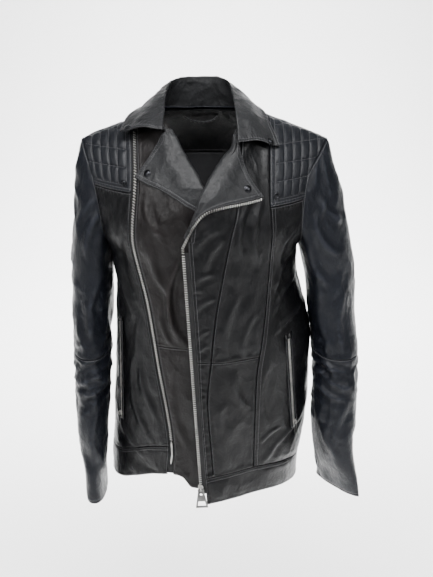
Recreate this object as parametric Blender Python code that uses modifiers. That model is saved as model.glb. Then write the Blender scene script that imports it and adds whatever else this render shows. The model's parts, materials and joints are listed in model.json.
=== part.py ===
"""Leather riding jacket, hanging as if worn: quilted yokes, turned-back lapels and an off-centre zip.

Metres. +Z is up, the chest faces -Y, and the wearer's left side is +X. The origin is at the height of the
shoulder's high point, on the midline and in the plane of the shoulder seams.
"""

import bmesh
import bpy
import math
from mathutils import Matrix, Vector

NAME = "leather_riding_jacket"

LEATHER = 0.0012
LINING_GAP = 0.0085
LINING = 0.0006
SEAM_GAP = 0.0010
RIDGE_GAP = 0.0007

# Half sections: (height, position) stations, with straight runs between them.
RIGHT_SIDE = ((-0.80, -0.196), (-0.73, -0.193), (-0.68, -0.190), (-0.59, -0.184), (-0.455, -0.175),
              (-0.34, -0.168), (-0.245, -0.170), (-0.20, -0.190), (-0.15, -0.204), (-0.10, -0.222),
              (0.03, -0.270))
LEFT_SIDE = ((-0.80, 0.186), (-0.71, 0.187), (-0.63, 0.1945), (-0.54, 0.2030), (-0.43, 0.2005),
             (-0.38, 0.1930), (-0.34, 0.182), (-0.29, 0.171), (-0.245, 0.170), (-0.20, 0.188), (-0.15, 0.200),
             (-0.10, 0.217), (0.03, 0.270))
RIGHT_ARMHOLE = ((-0.245, -0.170), (-0.20, -0.178), (-0.155, -0.184), (-0.122, -0.190), (-0.096, -0.197),
                 (-0.0745, -0.206), (-0.050, -0.2155))
LEFT_ARMHOLE = ((-0.245, 0.170), (-0.20, 0.169), (-0.155, 0.1705), (-0.1187, 0.1735), (-0.0958, 0.181),
                (-0.0745, 0.198), (-0.050, 0.2155))
BACK_ARMHOLE = ((-0.245, 0.170), (-0.225, 0.177), (-0.18, 0.184), (-0.13, 0.192), (-0.09, 0.202),
                (-0.050, 0.2155))
FRONT_DEPTH = ((-0.80, 0.150), (-0.20, 0.150), (-0.12, 0.143), (0.05, 0.130))
BACK_DEPTH = ((-0.80, 0.100), (-0.60, 0.096), (-0.45, 0.094), (-0.25, 0.108), (-0.12, 0.104), (0.05, 0.090))
ARMPIT_Z = -0.245
SHOULDER_Z = -0.050
RIDGE = (0.003, 0.078, 0.384)
FRONT_ROUNDING = (0.17, 1.5)
BACK_ROUNDING = (0.13, 2.0)
FRONT_SECTION = 2.3
BACK_SECTION = 2.5
HEM_RIGHT = ((-0.193, -0.729), (-0.16, -0.706), (-0.14, -0.692), (-0.097, -0.672), (-0.06, -0.666),
             (-0.045, -0.670), (-0.026, -0.693), (0.01, -0.697))
HEM_LEFT = ((-0.005, -0.7255), (0.037, -0.716), (0.10, -0.714), (0.158, -0.724), (0.187, -0.742))
HEM_BACK = ((-0.193, -0.729), (-0.10, -0.735), (0.0, -0.738), (0.10, -0.739), (0.187, -0.742))
HEM_BAND_RIGHT = 0.062
HEM_BAND_LEFT = 0.060

# Seams of the fronts: (height, x).
INSET_ZIP = ((-0.76, -0.070), (-0.6425, -0.0655), (-0.618, -0.063), (-0.425, -0.0855), (-0.316, -0.100),
             (-0.190, -0.1225), (-0.097, -0.117), (0.0, -0.123))
UNDERLAP = ((-0.76, 0.000), (-0.60, 0.010), (-0.21, 0.012), (-0.150, 0.008), (-0.122, 0.006),
            (-0.105, -0.001), (-0.0165, -0.059), (0.01, -0.077))
LEFT_ROLL = ((-0.187, -0.0225), (-0.1503, -0.0177), (-0.1337, -0.0100), (-0.1172, -0.0040),
             (-0.0992, 0.0040), (-0.0799, 0.0165), (-0.0584, 0.0340), (-0.0447, 0.0460), (-0.017, 0.054),
             (0.01, 0.060))
MID_SEAM = ((-0.76, 0.022), (-0.62, 0.0125), (-0.49, 0.0050), (-0.42, 0.011), (-0.33, 0.0195),
            (-0.245, 0.0335), (-0.18, 0.046), (-0.137, 0.056), (0.01, 0.067))
PRINCESS_SEAM = ((-0.76, 0.092), (-0.61, 0.092), (-0.46, 0.094), (-0.38, 0.103), (-0.28, 0.1115),
                 (-0.185, 0.116), (-0.12, 0.112), (0.01, 0.112))
ZIP_TOP = Vector((-0.0340, -0.1640, -0.2220))
ZIP_BOTTOM = Vector((-0.0078, -0.1640, -0.7000))
ZIP_MARGIN_OUT = 0.0085
ZIP_MARGIN_IN = 0.0050
WAIST_RIGHT_Z = -0.3950
WAIST_LEFT_Z = -0.4150
YOKE_RIGHT_Z = -0.1190
YOKE_LEFT_Z = -0.1400
BACK_YOKE_Z = -0.1700

# Lapels, folded out on the chest, as (x, z): the roll from the neck down, the outer edge from the notch to
# the tip, and the lower edge from the roll to the tip. The right one stops where the left front crosses it.
RIGHT_LAPEL = (((-0.0585, -0.0190), (-0.0040, -0.0995), (-0.0085, -0.1163), (-0.0165, -0.1370)),
               ((-0.0705, -0.0235), (-0.1186, -0.0920)),
               ((-0.0165, -0.1370), (-0.0311, -0.1281), (-0.0479, -0.1186), (-0.0647, -0.1109),
                (-0.0818, -0.1050), (-0.0991, -0.1001), (-0.1186, -0.0920)))
LEFT_LAPEL = (((0.0535, -0.0250), (0.0486, -0.0436), (0.0334, -0.0593), (0.0169, -0.0801), (0.0038, -0.0990),
               (-0.0043, -0.1163), (-0.0093, -0.1319), (-0.0176, -0.1484), (-0.0215, -0.1590)),
              ((0.0560, -0.0340), (0.1016, -0.1195)),
              ((-0.0215, -0.1590), (-0.0110, -0.1440), (-0.0011, -0.1358), (0.0104, -0.1300),
               (0.0350, -0.1252), (0.0599, -0.1240), (0.0853, -0.1225), (0.1016, -0.1195)))
LAPEL_LIFT = 0.0060
# Depth of the edge each lapel rolls on, by height.
RIGHT_ROLL_DEPTH = ((-0.205, -0.146), (-0.150, -0.145), (-0.118, -0.141), (-0.100, -0.134),
                    (-0.0165, -0.058), (0.01, -0.033))
LEFT_ROLL_DEPTH = ((-0.205, -0.150), (-0.150, -0.149), (-0.118, -0.144), (-0.100, -0.136),
                   (-0.0165, -0.060), (0.01, -0.035))
ROLL_REACH = 0.05
ROLL_END = (-0.205, 0.045)
CLOSURE_STEP = 0.0125
LAPEL_SNAPS = (("right", (-0.0950, -0.0851)), ("left", (0.0735, -0.1053)))
YOKE_STUDS = (("right", (-0.1366, -0.1055)), ("left", (0.1225, -0.1238)))
SNAP = (0.0068, 0.0030)
STUD = (0.0062, 0.0036, 0.0026)

# Collar: stand foot, roll and leaf edge from the wearer's right front round the back: (x, y, z).
COLLAR_FOOT = ((-0.0690, -0.0720, -0.0130), (-0.0745, -0.0380, -0.0005), (-0.0790, 0.0030, 0.0085),
               (-0.0600, 0.0480, 0.0090), (-0.0080, 0.0680, 0.0070), (0.0520, 0.0480, 0.0090),
               (0.0770, 0.0050, 0.0085), (0.0705, -0.0370, 0.0008), (0.0590, -0.0800, -0.0240))
COLLAR_ROLL = ((-0.0704, -0.0860, -0.0165), (-0.0675, -0.0480, 0.0055), (-0.0662, 0.0000, 0.0280),
               (-0.0520, 0.0480, 0.0420), (-0.0080, 0.0660, 0.0430), (0.0360, 0.0480, 0.0420),
               (0.0478, 0.0000, 0.0270), (0.0540, -0.0620, 0.0030), (0.0582, -0.0930, -0.0370))
COLLAR_EDGE = ((-0.1418, -0.0500, -0.0274), (-0.1310, -0.0100, -0.0100), (-0.1120, 0.0300, -0.0070),
               (-0.0780, 0.0780, -0.0120), (-0.0080, 0.0980, -0.0160), (0.0640, 0.0780, -0.0130),
               (0.0980, 0.0220, -0.0060), (0.1090, -0.0280, -0.0160), (0.1260, -0.0620, -0.0500))

# Sleeves: (height, centre x, centre y, half width, half depth, turn of the long axis in degrees).
LEFT_SLEEVE = ((-0.050, 0.2080, 0.000, 0.018, 0.060, 0.0), (-0.100, 0.2090, 0.000, 0.031, 0.075, 0.0),
               (-0.165, 0.2145, 0.000, 0.042, 0.078, 0.0), (-0.250, 0.2275, -0.002, 0.045, 0.074, 0.0),
               (-0.350, 0.2385, -0.012, 0.044, 0.069, 0.0), (-0.437, 0.2475, -0.030, 0.0430, 0.065, 3.0),
               (-0.513, 0.2485, -0.046, 0.0405, 0.062, 6.0), (-0.598, 0.2480, -0.060, 0.0375, 0.058, 10.0),
               (-0.660, 0.2520, -0.068, 0.0330, 0.055, 20.0), (-0.707, 0.2600, -0.072, 0.0270, 0.053, 32.0),
               (-0.745, 0.2650, -0.074, 0.0230, 0.052, 40.0))
RIGHT_SLEEVE = ((-0.050, -0.2010, 0.000, 0.014, 0.060, 0.0), (-0.100, -0.2040, 0.000, 0.024, 0.075, 0.0),
                (-0.190, -0.2080, 0.000, 0.031, 0.078, 0.0), (-0.250, -0.2110, -0.002, 0.0345, 0.075, 0.0),
                (-0.350, -0.2130, -0.012, 0.0360, 0.070, 0.0), (-0.440, -0.2160, -0.030, 0.0350, 0.066, 0.0),
                (-0.558, -0.2200, -0.052, 0.0290, 0.060, 0.0), (-0.638, -0.2190, -0.064, 0.0245, 0.056, 0.0),
                (-0.707, -0.2195, -0.074, 0.0210, 0.052, 0.0), (-0.750, -0.2190, -0.078, 0.0200, 0.050, 0.0))
ELBOW_Z = -0.4450
CUFF_Z = (-0.748, -0.741)
BRIDGE_HEIGHT = 0.0048

ZIP_SLIDER_Z = -0.6830
ZIP_CHAIN = (0.0040, 0.0018)
POCKET_CHAIN = (0.0040, 0.0016)
POCKETS = (("right", -1, (-0.1510, -0.3720), (-0.1555, -0.5600)),
           ("left", 1, (0.1480, -0.3960), (0.1640, -0.5720)))
CUFF_ZIPS = (("right", 68.0, -0.630, -0.732), ("left", 68.0, -0.630, -0.728))

BLACK = (0.015, 0.016, 0.019, 1.0)
GREY_BLACK = (0.030, 0.031, 0.035, 1.0)
CLOTH = (0.012, 0.012, 0.013, 1.0)
NICKEL = (0.62, 0.61, 0.58, 1.0)
GUNMETAL = (0.10, 0.10, 0.11, 1.0)

root = bpy.data.collections.new(NAME)
cutters = bpy.data.collections.new(NAME + "_cutters")


def clear():
    for obj in list(bpy.data.objects):
        bpy.data.objects.remove(obj)
    bpy.context.scene.collection.children.link(root)
    bpy.context.scene.collection.children.link(cutters)
    cutters.hide_render = True


def material(name, colour, metallic, roughness):
    mat = bpy.data.materials.new(name)
    mat.use_nodes = True
    shader = mat.node_tree.nodes["Principled BSDF"]
    shader.inputs["Base Color"].default_value = colour
    shader.inputs["Metallic"].default_value = metallic
    shader.inputs["Roughness"].default_value = roughness
    return mat


def finish(obj, look):
    colour, metallic, roughness = look
    obj.data.materials.append(material(obj.name, colour, metallic, roughness))
    root.objects.link(obj)
    return obj


LEATHER_LOOK = (BLACK, 0.0, 0.45)
QUILT_LOOK = (GREY_BLACK, 0.0, 0.40)
CLOTH_LOOK = (CLOTH, 0.0, 0.85)
NICKEL_LOOK = (NICKEL, 1.0, 0.28)
GUNMETAL_LOOK = (GUNMETAL, 1.0, 0.35)


def station(table, z):
    """The value of a station table at height z, on the straight run between its stations."""
    rows = sorted(table)
    if z <= rows[0][0]:
        return rows[0][1]
    for low, high in zip(rows, rows[1:]):
        if z <= high[0]:
            share = (z - low[0]) / (high[0] - low[0])
            return low[1] + (high[1] - low[1]) * share
    return rows[-1][1]


def smooth(value):
    value = min(max(value, 0.0), 1.0)
    return value * value * (3.0 - 2.0 * value)


def sides(z):
    left = station(LEFT_SIDE, z)
    right = station(RIGHT_SIDE, z)
    return (left + right) / 2.0, (left - right) / 2.0


def ridge(x):
    return RIDGE[0] - RIDGE[2] * (abs(x) - RIDGE[1])


def neckline(x):
    """Top edge of the fronts: the shoulder seam, then the dip of the neck."""
    return ridge(x) if abs(x) > RIDGE[1] else RIDGE[0] - 0.9 * (RIDGE[1] - abs(x))


def back_neckline(x):
    return ridge(x) if abs(x) > RIDGE[1] else -0.006 + 0.009 * (x / RIDGE[1]) ** 2


def roll_blend(x, z, table, depths):
    """How far a point belongs to the edge a lapel rolls on, and the edge's depth there."""
    line = station(table, z)
    near = smooth(1.0 - abs(x - line) / ROLL_REACH) * smooth((z - ROLL_END[0]) / ROLL_END[1])
    return near, station(depths, z)


def front_y(x, z, inset=0.0, own_left=False):
    centre, half = sides(z)
    r = min(abs(x - centre) / (half - inset), 1.0)
    drop = (ridge(x) - inset - z) / FRONT_ROUNDING[0]
    drop = 1.0 - min(max(drop, 0.0), 1.0)
    power = FRONT_ROUNDING[1]
    fall = (1.0 - drop ** power) ** (1.0 / power)
    y = -(station(FRONT_DEPTH, z) - inset) * (1.0 - r ** FRONT_SECTION) ** (1.0 / FRONT_SECTION) * fall
    if own_left:
        near, line = roll_blend(x, z, LEFT_ROLL, LEFT_ROLL_DEPTH)
    else:
        near, line = roll_blend(x, z, UNDERLAP, RIGHT_ROLL_DEPTH)
    y += near * (line + inset - y)
    if own_left:
        y -= CLOSURE_STEP * smooth((0.10 - x) / 0.08) * smooth((-0.02 - z) / 0.12)
    return min(y, -RIDGE_GAP)


def back_y(x, z, inset=0.0):
    centre, half = sides(z)
    r = min(abs(x - centre) / (half - inset), 1.0)
    drop = (ridge(x) - inset - z) / BACK_ROUNDING[0]
    drop = 1.0 - min(max(drop, 0.0), 1.0)
    power = BACK_ROUNDING[1]
    fall = (1.0 - drop ** power) ** (1.0 / power)
    y = (station(BACK_DEPTH, z) - inset) * (1.0 - r ** BACK_SECTION) ** (1.0 / BACK_SECTION) * fall
    return max(y, RIDGE_GAP)


def surface(name, rows, thickness, look, cyclic=False, outward=True):
    """An open grid of points given a wall that grows inwards from it."""
    mesh = bpy.data.meshes.new(name)
    wide = len(rows[0])
    points = [tuple(p) for row in rows for p in row]
    faces = []
    for i in range(len(rows) - 1):
        for j in range(wide if cyclic else wide - 1):
            k = (j + 1) % wide
            face = (i * wide + j, (i + 1) * wide + j, (i + 1) * wide + k, i * wide + k)
            faces.append(face if outward else face[::-1])
    mesh.from_pydata(points, [], faces)
    mesh.validate()
    obj = bpy.data.objects.new(name, mesh)
    wall = obj.modifiers.new("wall", "SOLIDIFY")
    wall.thickness = thickness
    wall.offset = -1.0
    return finish(obj, look)


def patch(name, x_in, x_out, z_top, z_bottom, cols, rows, depth, look=LEATHER_LOOK, top_dense=False,
          flip=False):
    """A panel of the body between two seams and two edges, on the surface given by depth(x, z)."""
    grid = []
    for i in range(rows + 1):
        s = i / rows
        s = 1.0 - math.cos(s * math.pi / 2.0) if top_dense else s
        line = []
        for j in range(cols + 1):
            t = j / cols
            z = (z_top(0.0) + z_bottom(0.0)) / 2.0
            x = 0.0
            for _ in range(30):
                centre, half = sides(z)
                start = math.asin(max(-1.0, min(1.0, (x_in(z) - centre) / half)))
                end = math.asin(max(-1.0, min(1.0, (x_out(z) - centre) / half)))
                x = centre + half * math.sin(start + (end - start) * t)
                z = z_top(x) + (z_bottom(x) - z_top(x)) * s
            line.append((x, depth(x, z), z))
        grid.append(line)
    return surface(name, grid, LEATHER, look, outward=not flip)


def along(table, rise=0.0):
    """Height function that follows a hem's stations, raised by an even amount."""
    return lambda x: station(table, x) + rise


def level(z):
    return lambda x: z


def zip_edge_x(z):
    """x of the wearer's-left zip chain at height z."""
    share = (z - ZIP_BOTTOM.z) / (ZIP_TOP.z - ZIP_BOTTOM.z)
    return ZIP_BOTTOM.x + (ZIP_TOP.x - ZIP_BOTTOM.x) * share


def left_edge(z):
    """Leading edge of the wearer's-left front: the roll line, then beside the zip."""
    if z > LEFT_ROLL[0][0]:
        return station(LEFT_ROLL, z)
    return zip_edge_x(z) + ZIP_MARGIN_OUT


def left_outer(z):
    return station(LEFT_ARMHOLE, z) if z > ARMPIT_Z else station(LEFT_SIDE, z)


def right_outer(z):
    return station(RIGHT_ARMHOLE, z) if z > ARMPIT_Z else station(RIGHT_SIDE, z)


def back_left_outer(z):
    return station(BACK_ARMHOLE, z) if z > ARMPIT_Z else station(LEFT_SIDE, z)


def back_right_outer(z):
    return -station(BACK_ARMHOLE, z) if z > ARMPIT_Z else station(RIGHT_SIDE, z)


def offset(table, gap):
    return lambda z: station(table, z) + gap


def left_front(x, z):
    return front_y(x, z, own_left=True)


def make_body():
    half = SEAM_GAP / 2.0
    beside_zip = offset(INSET_ZIP, -ZIP_MARGIN_OUT)
    inside_zip = offset(INSET_ZIP, ZIP_MARGIN_IN)
    above_band_right = along(HEM_RIGHT, HEM_BAND_RIGHT + SEAM_GAP)
    above_band_left = along(HEM_LEFT, HEM_BAND_LEFT + SEAM_GAP)
    # Wearer's right.
    patch("right_shoulder_yoke", right_outer, beside_zip, neckline, level(YOKE_RIGHT_Z), 5, 7, front_y,
          QUILT_LOOK, top_dense=True)
    patch("right_front_side_panel", right_outer, beside_zip, level(YOKE_RIGHT_Z - SEAM_GAP),
          above_band_right, 9, 13, front_y)
    patch("right_front_inner_upper_panel", inside_zip, offset(UNDERLAP, 0.0), neckline, level(WAIST_RIGHT_Z),
          5, 12, front_y)
    patch("right_front_inner_lower_panel", inside_zip, offset(UNDERLAP, 0.0),
          level(WAIST_RIGHT_Z - SEAM_GAP), along(HEM_RIGHT), 4, 6, front_y)
    patch("right_hem_band", right_outer, beside_zip, along(HEM_RIGHT, HEM_BAND_RIGHT), along(HEM_RIGHT),
          8, 2, front_y)
    # Wearer's left.
    patch("left_shoulder_yoke", offset(PRINCESS_SEAM, half), left_outer, neckline, level(YOKE_LEFT_Z), 5, 7,
          front_y, QUILT_LOOK, top_dense=True)
    patch("left_front_side_panel", offset(PRINCESS_SEAM, half), left_outer, level(YOKE_LEFT_Z - SEAM_GAP),
          above_band_left, 9, 14, left_front)
    patch("left_middle_upper_panel", offset(MID_SEAM, half), offset(PRINCESS_SEAM, -half), neckline,
          level(WAIST_LEFT_Z), 4, 12, left_front)
    patch("left_middle_lower_panel", offset(MID_SEAM, half), offset(PRINCESS_SEAM, -half),
          level(WAIST_LEFT_Z - SEAM_GAP), above_band_left, 4, 6, left_front)
    patch("left_placket_upper_panel", left_edge, offset(MID_SEAM, -half), lambda x: neckline(x) - half,
          level(WAIST_LEFT_Z), 3, 16, left_front)
    patch("left_placket_lower_panel", left_edge, offset(MID_SEAM, -half), level(WAIST_LEFT_Z - SEAM_GAP),
          above_band_left, 2, 6, left_front)
    patch("left_hem_band", left_edge, left_outer, along(HEM_LEFT, HEM_BAND_LEFT), along(HEM_LEFT), 11, 2,
          left_front)
    # Back.
    patch("back_yoke", back_right_outer, back_left_outer, back_neckline, level(BACK_YOKE_Z), 18, 6, back_y,
          top_dense=True, flip=True)
    patch("back_panel", back_right_outer, back_left_outer, level(BACK_YOKE_Z - SEAM_GAP),
          along(HEM_BACK, HEM_BAND_LEFT + SEAM_GAP), 18, 12, back_y, flip=True)
    patch("back_hem_band", back_right_outer, back_left_outer, along(HEM_BACK, HEM_BAND_LEFT),
          along(HEM_BACK), 18, 2, back_y, flip=True)


def lining_row(z):
    """Closed-at-the-back ring of the lining at height z, from the right front edge round to the left."""
    inset = LINING_GAP
    centre, half = sides(z)
    inner = half - inset
    line = []
    start = math.asin((station(INSET_ZIP, z) - 0.020 - centre) / inner)
    for j in range(8):
        angle = start + (-math.pi / 2.0 - start) * j / 8.0
        x = centre + inner * math.sin(angle)
        line.append((x, front_y(x, z, inset), z))
    for j in range(17):
        angle = -math.pi / 2.0 + math.pi * j / 16.0
        x = centre + inner * math.sin(angle)
        line.append((x, back_y(x, z, inset) if 0 < j < 16 else 0.0, z))
    end = math.asin((left_edge(z) + 0.035 - centre) / inner)
    for j in range(8):
        angle = math.pi / 2.0 + (end - math.pi / 2.0) * (j + 1) / 8.0
        x = centre + inner * math.sin(angle)
        line.append((x, front_y(x, z, inset), z))
    return line


def make_linings():
    rows = [lining_row(z) for z in (-0.262, -0.31, -0.38, -0.46, -0.54, -0.62, -0.670)]
    surface("body_lining", rows, LINING, CLOTH_LOOK)
    grid = []
    for i in range(5):
        line = []
        for j in range(15):
            x = -0.125 + 0.25 * j / 14.0
            top = back_neckline(x) - 0.0065
            z = top + (-0.100 - top) * i / 4.0
            line.append((x, back_y(x, z, LINING_GAP), z))
        grid.append(line)
    surface("back_neck_facing", grid, LINING, LEATHER_LOOK, outward=False)
    loop = bpy.data.curves.new("hanger_loop", "CURVE")
    loop.dimensions = "3D"
    loop.bevel_depth = 0.0016
    loop.bevel_resolution = 1
    loop.resolution_u = 4
    loop.use_fill_caps = True
    spline = loop.splines.new("POLY")
    knots = [(x, back_y(x, z, LINING_GAP) - away, z) for x, z, away in
             ((-0.038, -0.026, 0.0045), (-0.026, -0.032, 0.0080), (0.010, -0.034, 0.0100),
              (0.022, -0.026, 0.0045))]
    spline.points.add(len(knots) - 1)
    for point, knot in zip(spline.points, knots):
        point.co = (*knot, 1.0)
    finish(bpy.data.objects.new("hanger_loop", loop), CLOTH_LOOK)


def on_line(knots, share):
    """The point a share of the way along a broken line."""
    points = [Vector(k) for k in knots]
    runs = [(b - a).length for a, b in zip(points, points[1:])]
    left = share * sum(runs)
    for a, b, run in zip(points, points[1:], runs):
        if left <= run:
            return a.lerp(b, left / run)
        left -= run
    return points[-1]


def lapel(name, lines, depth, outward):
    roll, outer, lower = lines
    bottom, tip = Vector(roll[-1]), Vector(outer[-1])
    grid = []
    for i in range(13):
        s = i / 12.0
        line = []
        for j in range(9):
            t = j / 8.0
            point = on_line(roll, s).lerp(on_line(outer, s), t)
            point += (on_line(lower, t) - bottom.lerp(tip, t)) * s * s
            line.append((point.x, depth(point.x, point.y) - LAPEL_LIFT, point.y))
        grid.append(line)
    return surface(name, grid, 0.0024, LEATHER_LOOK, outward=outward)


def disc(name, centre, normal, radius, height, look, ring=0.0):
    """A domed cap, or a ring when an inner radius is given, turned about its normal."""
    if ring:
        outline = [(ring, 0.0), (ring, height), (radius * 0.86, height), (radius, height * 0.6),
                   (radius, 0.0)]
    else:
        outline = [(0.0, height), (radius * 0.55, height * 0.9), (radius * 0.9, height * 0.55),
                   (radius, 0.0), (0.0, 0.0)]
    mesh = bpy.data.meshes.new(name)
    points = [(x, 0.0, z) for x, z in outline]
    edges = [(i, i + 1) for i in range(len(points) - 1)]
    if ring:
        edges.append((len(points) - 1, 0))
    mesh.from_pydata(points, edges, [])
    obj = bpy.data.objects.new(name, mesh)
    turn = obj.modifiers.new("turn", "SCREW")
    turn.axis = "Z"
    turn.steps = turn.render_steps = 16
    turn.use_merge_vertices = True
    turn.merge_threshold = 0.00005
    obj.matrix_world = facing(centre, normal)
    return finish(obj, look)


def facing(centre, normal, up=Vector((0.0, 0.0, 1.0))):
    """Matrix with local Z along normal and local Y as near up as it can be."""
    z = Vector(normal).normalized()
    x = up.cross(z).normalized()
    y = z.cross(x).normalized()
    matrix = Matrix((x, y, z)).transposed().to_4x4()
    matrix.translation = Vector(centre)
    return matrix


def normal_at(x, z, depth):
    step = 0.004
    dx = (depth(x + step, z) - depth(x - step, z)) / (2.0 * step)
    dz = (depth(x, z + step) - depth(x, z - step)) / (2.0 * step)
    return Vector((dx, -1.0, dz)).normalized()


def strip(name, path, normal, width, thickness, look):
    """A flat band of even width along a path, lying square to the normal given at each point."""
    rows = []
    for i, point in enumerate(path):
        ahead = path[min(i + 1, len(path) - 1)] - path[max(i - 1, 0)]
        up = normal(i)
        side = ahead.cross(up).normalized() * width / 2.0
        lift = up * thickness / 2.0
        rows.append((point - side + lift, point + side + lift))
    return surface(name, rows, thickness, look, outward=False)


def outline_plate(name, outline, holes, half_thickness):
    """A flat plate in the local XY plane, with holes, centred on that plane."""
    curve = bpy.data.curves.new(name, "CURVE")
    curve.dimensions = "2D"
    curve.fill_mode = "BOTH"
    curve.extrude = half_thickness
    for loop in (outline, *holes):
        spline = curve.splines.new("POLY")
        spline.points.add(len(loop) - 1)
        for point, knot in zip(spline.points, loop):
            point.co = (knot[0], knot[1], 0.0, 1.0)
        spline.use_cyclic_u = True
    return bpy.data.objects.new(name, curve)


def to_mesh(obj, matrix, name):
    """The object's shape, welded and moved, as a mesh object of its own."""
    graph = bpy.context.evaluated_depsgraph_get()
    mesh = bpy.data.meshes.new_from_object(obj.evaluated_get(graph))
    mesh.name = name
    solid = bmesh.new()
    solid.from_mesh(mesh)
    bmesh.ops.remove_doubles(solid, verts=solid.verts, dist=1e-6)
    bmesh.ops.recalc_face_normals(solid, faces=solid.faces)
    solid.to_mesh(mesh)
    solid.free()
    mesh.transform(matrix)
    made = bpy.data.objects.new(name, mesh)
    return made


def slider(name, frame, wide, tall, look):
    """Slider body with a channel for one row of teeth and a bridge; local Y is along the zip."""
    w, n, slot = wide / 2.0, 0.0027, 0.0008
    channel, deep = 0.0028, 0.0015
    section = [(-w, -n), (w, -n), (w, -slot), (channel, -slot), (channel, -deep), (-channel, -deep),
               (-channel, deep), (channel, deep), (channel, slot), (w, slot), (w, n), (-w, n)]
    body = outline_plate(name + "_channel", section, (), tall / 2.0)
    cutters.objects.link(body)
    bridge_outline = [(-0.0040, -0.0002), (-0.0040, 0.0032), (-0.0028, 0.0044), (0.0028, 0.0044),
                      (0.0040, 0.0032), (0.0040, -0.0002)]
    bridge_hole = [(-0.0028, 0.0006), (-0.0028, 0.0030), (-0.0023, 0.0035), (0.0023, 0.0035),
                   (0.0028, 0.0030), (0.0028, 0.0006)]
    bridge = outline_plate(name + "_bridge", bridge_outline, (bridge_hole,), 0.0008)
    cutters.objects.link(bridge)
    bpy.context.view_layer.update()
    channel_turn = Matrix.Rotation(math.pi / 2.0, 4, "X")
    bridge_turn = Matrix(((0, 0, 1, 0), (1, 0, 0, 0), (0, 1, 0, n), (0, 0, 0, 1)))
    solid = to_mesh(body, frame @ channel_turn @ Matrix.Scale(-1.0, 4, (0.0, 1.0, 0.0)), name)
    tool = to_mesh(bridge, frame @ bridge_turn, name + "_bridge_tool")
    for made in (solid, tool):
        fix_normals(made)
    cutters.objects.link(tool)
    tool.display_type = "WIRE"
    tool.hide_render = True
    for helper in (body, bridge):
        bpy.data.objects.remove(helper)
    join = solid.modifiers.new("bridge", "BOOLEAN")
    join.operation = "UNION"
    join.solver = "EXACT"
    join.object = tool
    return finish(solid, look)


def fix_normals(obj):
    solid = bmesh.new()
    solid.from_mesh(obj.data)
    bmesh.ops.recalc_face_normals(solid, faces=solid.faces)
    solid.to_mesh(obj.data)
    solid.free()


def puller(name, frame, top, bottom, length, window, look):
    """Tab hanging from a slider's bridge: its top strip lies inside the bridge, round local origin."""
    half_top, half_bottom = top / 2.0, bottom / 2.0
    outline = [(-half_top, 0.0010), (half_top, 0.0010), (half_top, -0.0060), (half_bottom, -length),
               (-half_bottom, -length), (-half_top, -0.0060)]
    ear = min(half_top - 0.0012, 0.0028)
    holes = [[(-ear, -0.0010), (ear, -0.0010), (ear, -0.0046), (-ear, -0.0046)]]
    if window:
        wide, high, low = window
        holes.append([(-wide / 2.0, high), (wide / 2.0, high), (wide / 2.0, low), (-wide / 2.0, low)])
    plate = outline_plate(name + "_outline", outline, holes, 0.0006)
    cutters.objects.link(plate)
    bpy.context.view_layer.update()
    solid = to_mesh(plate, hanging(frame), name)
    fix_normals(solid)
    bpy.data.objects.remove(plate)
    return finish(solid, look)


def zip_frame(point, axis, normal):
    """Local Y along the zip, local Z out of the garment."""
    y = Vector(axis).normalized()
    x = y.cross(Vector(normal)).normalized()
    z = x.cross(y).normalized()
    matrix = Matrix((x, y, z)).transposed().to_4x4()
    matrix.translation = Vector(point)
    return matrix


def hanging(frame):
    """The frame turned about the bridge so that a tab hangs plumb, if that swings it off the garment."""
    across = frame.to_3x3() @ Vector((1.0, 0.0, 0.0))
    out = frame.to_3x3() @ Vector((0.0, 0.0, 1.0))
    down = Vector((0.0, 0.0, -1.0))
    down = (down - across * down.dot(across)).normalized()
    pivot = frame @ Vector((0.0, 0.0, BRIDGE_HEIGHT))
    turned = zip_frame(pivot, -down, across.cross(-down))
    if down.dot(out) > 0.0:
        return turned
    held = frame.copy()
    held.translation = pivot
    return held


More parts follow.
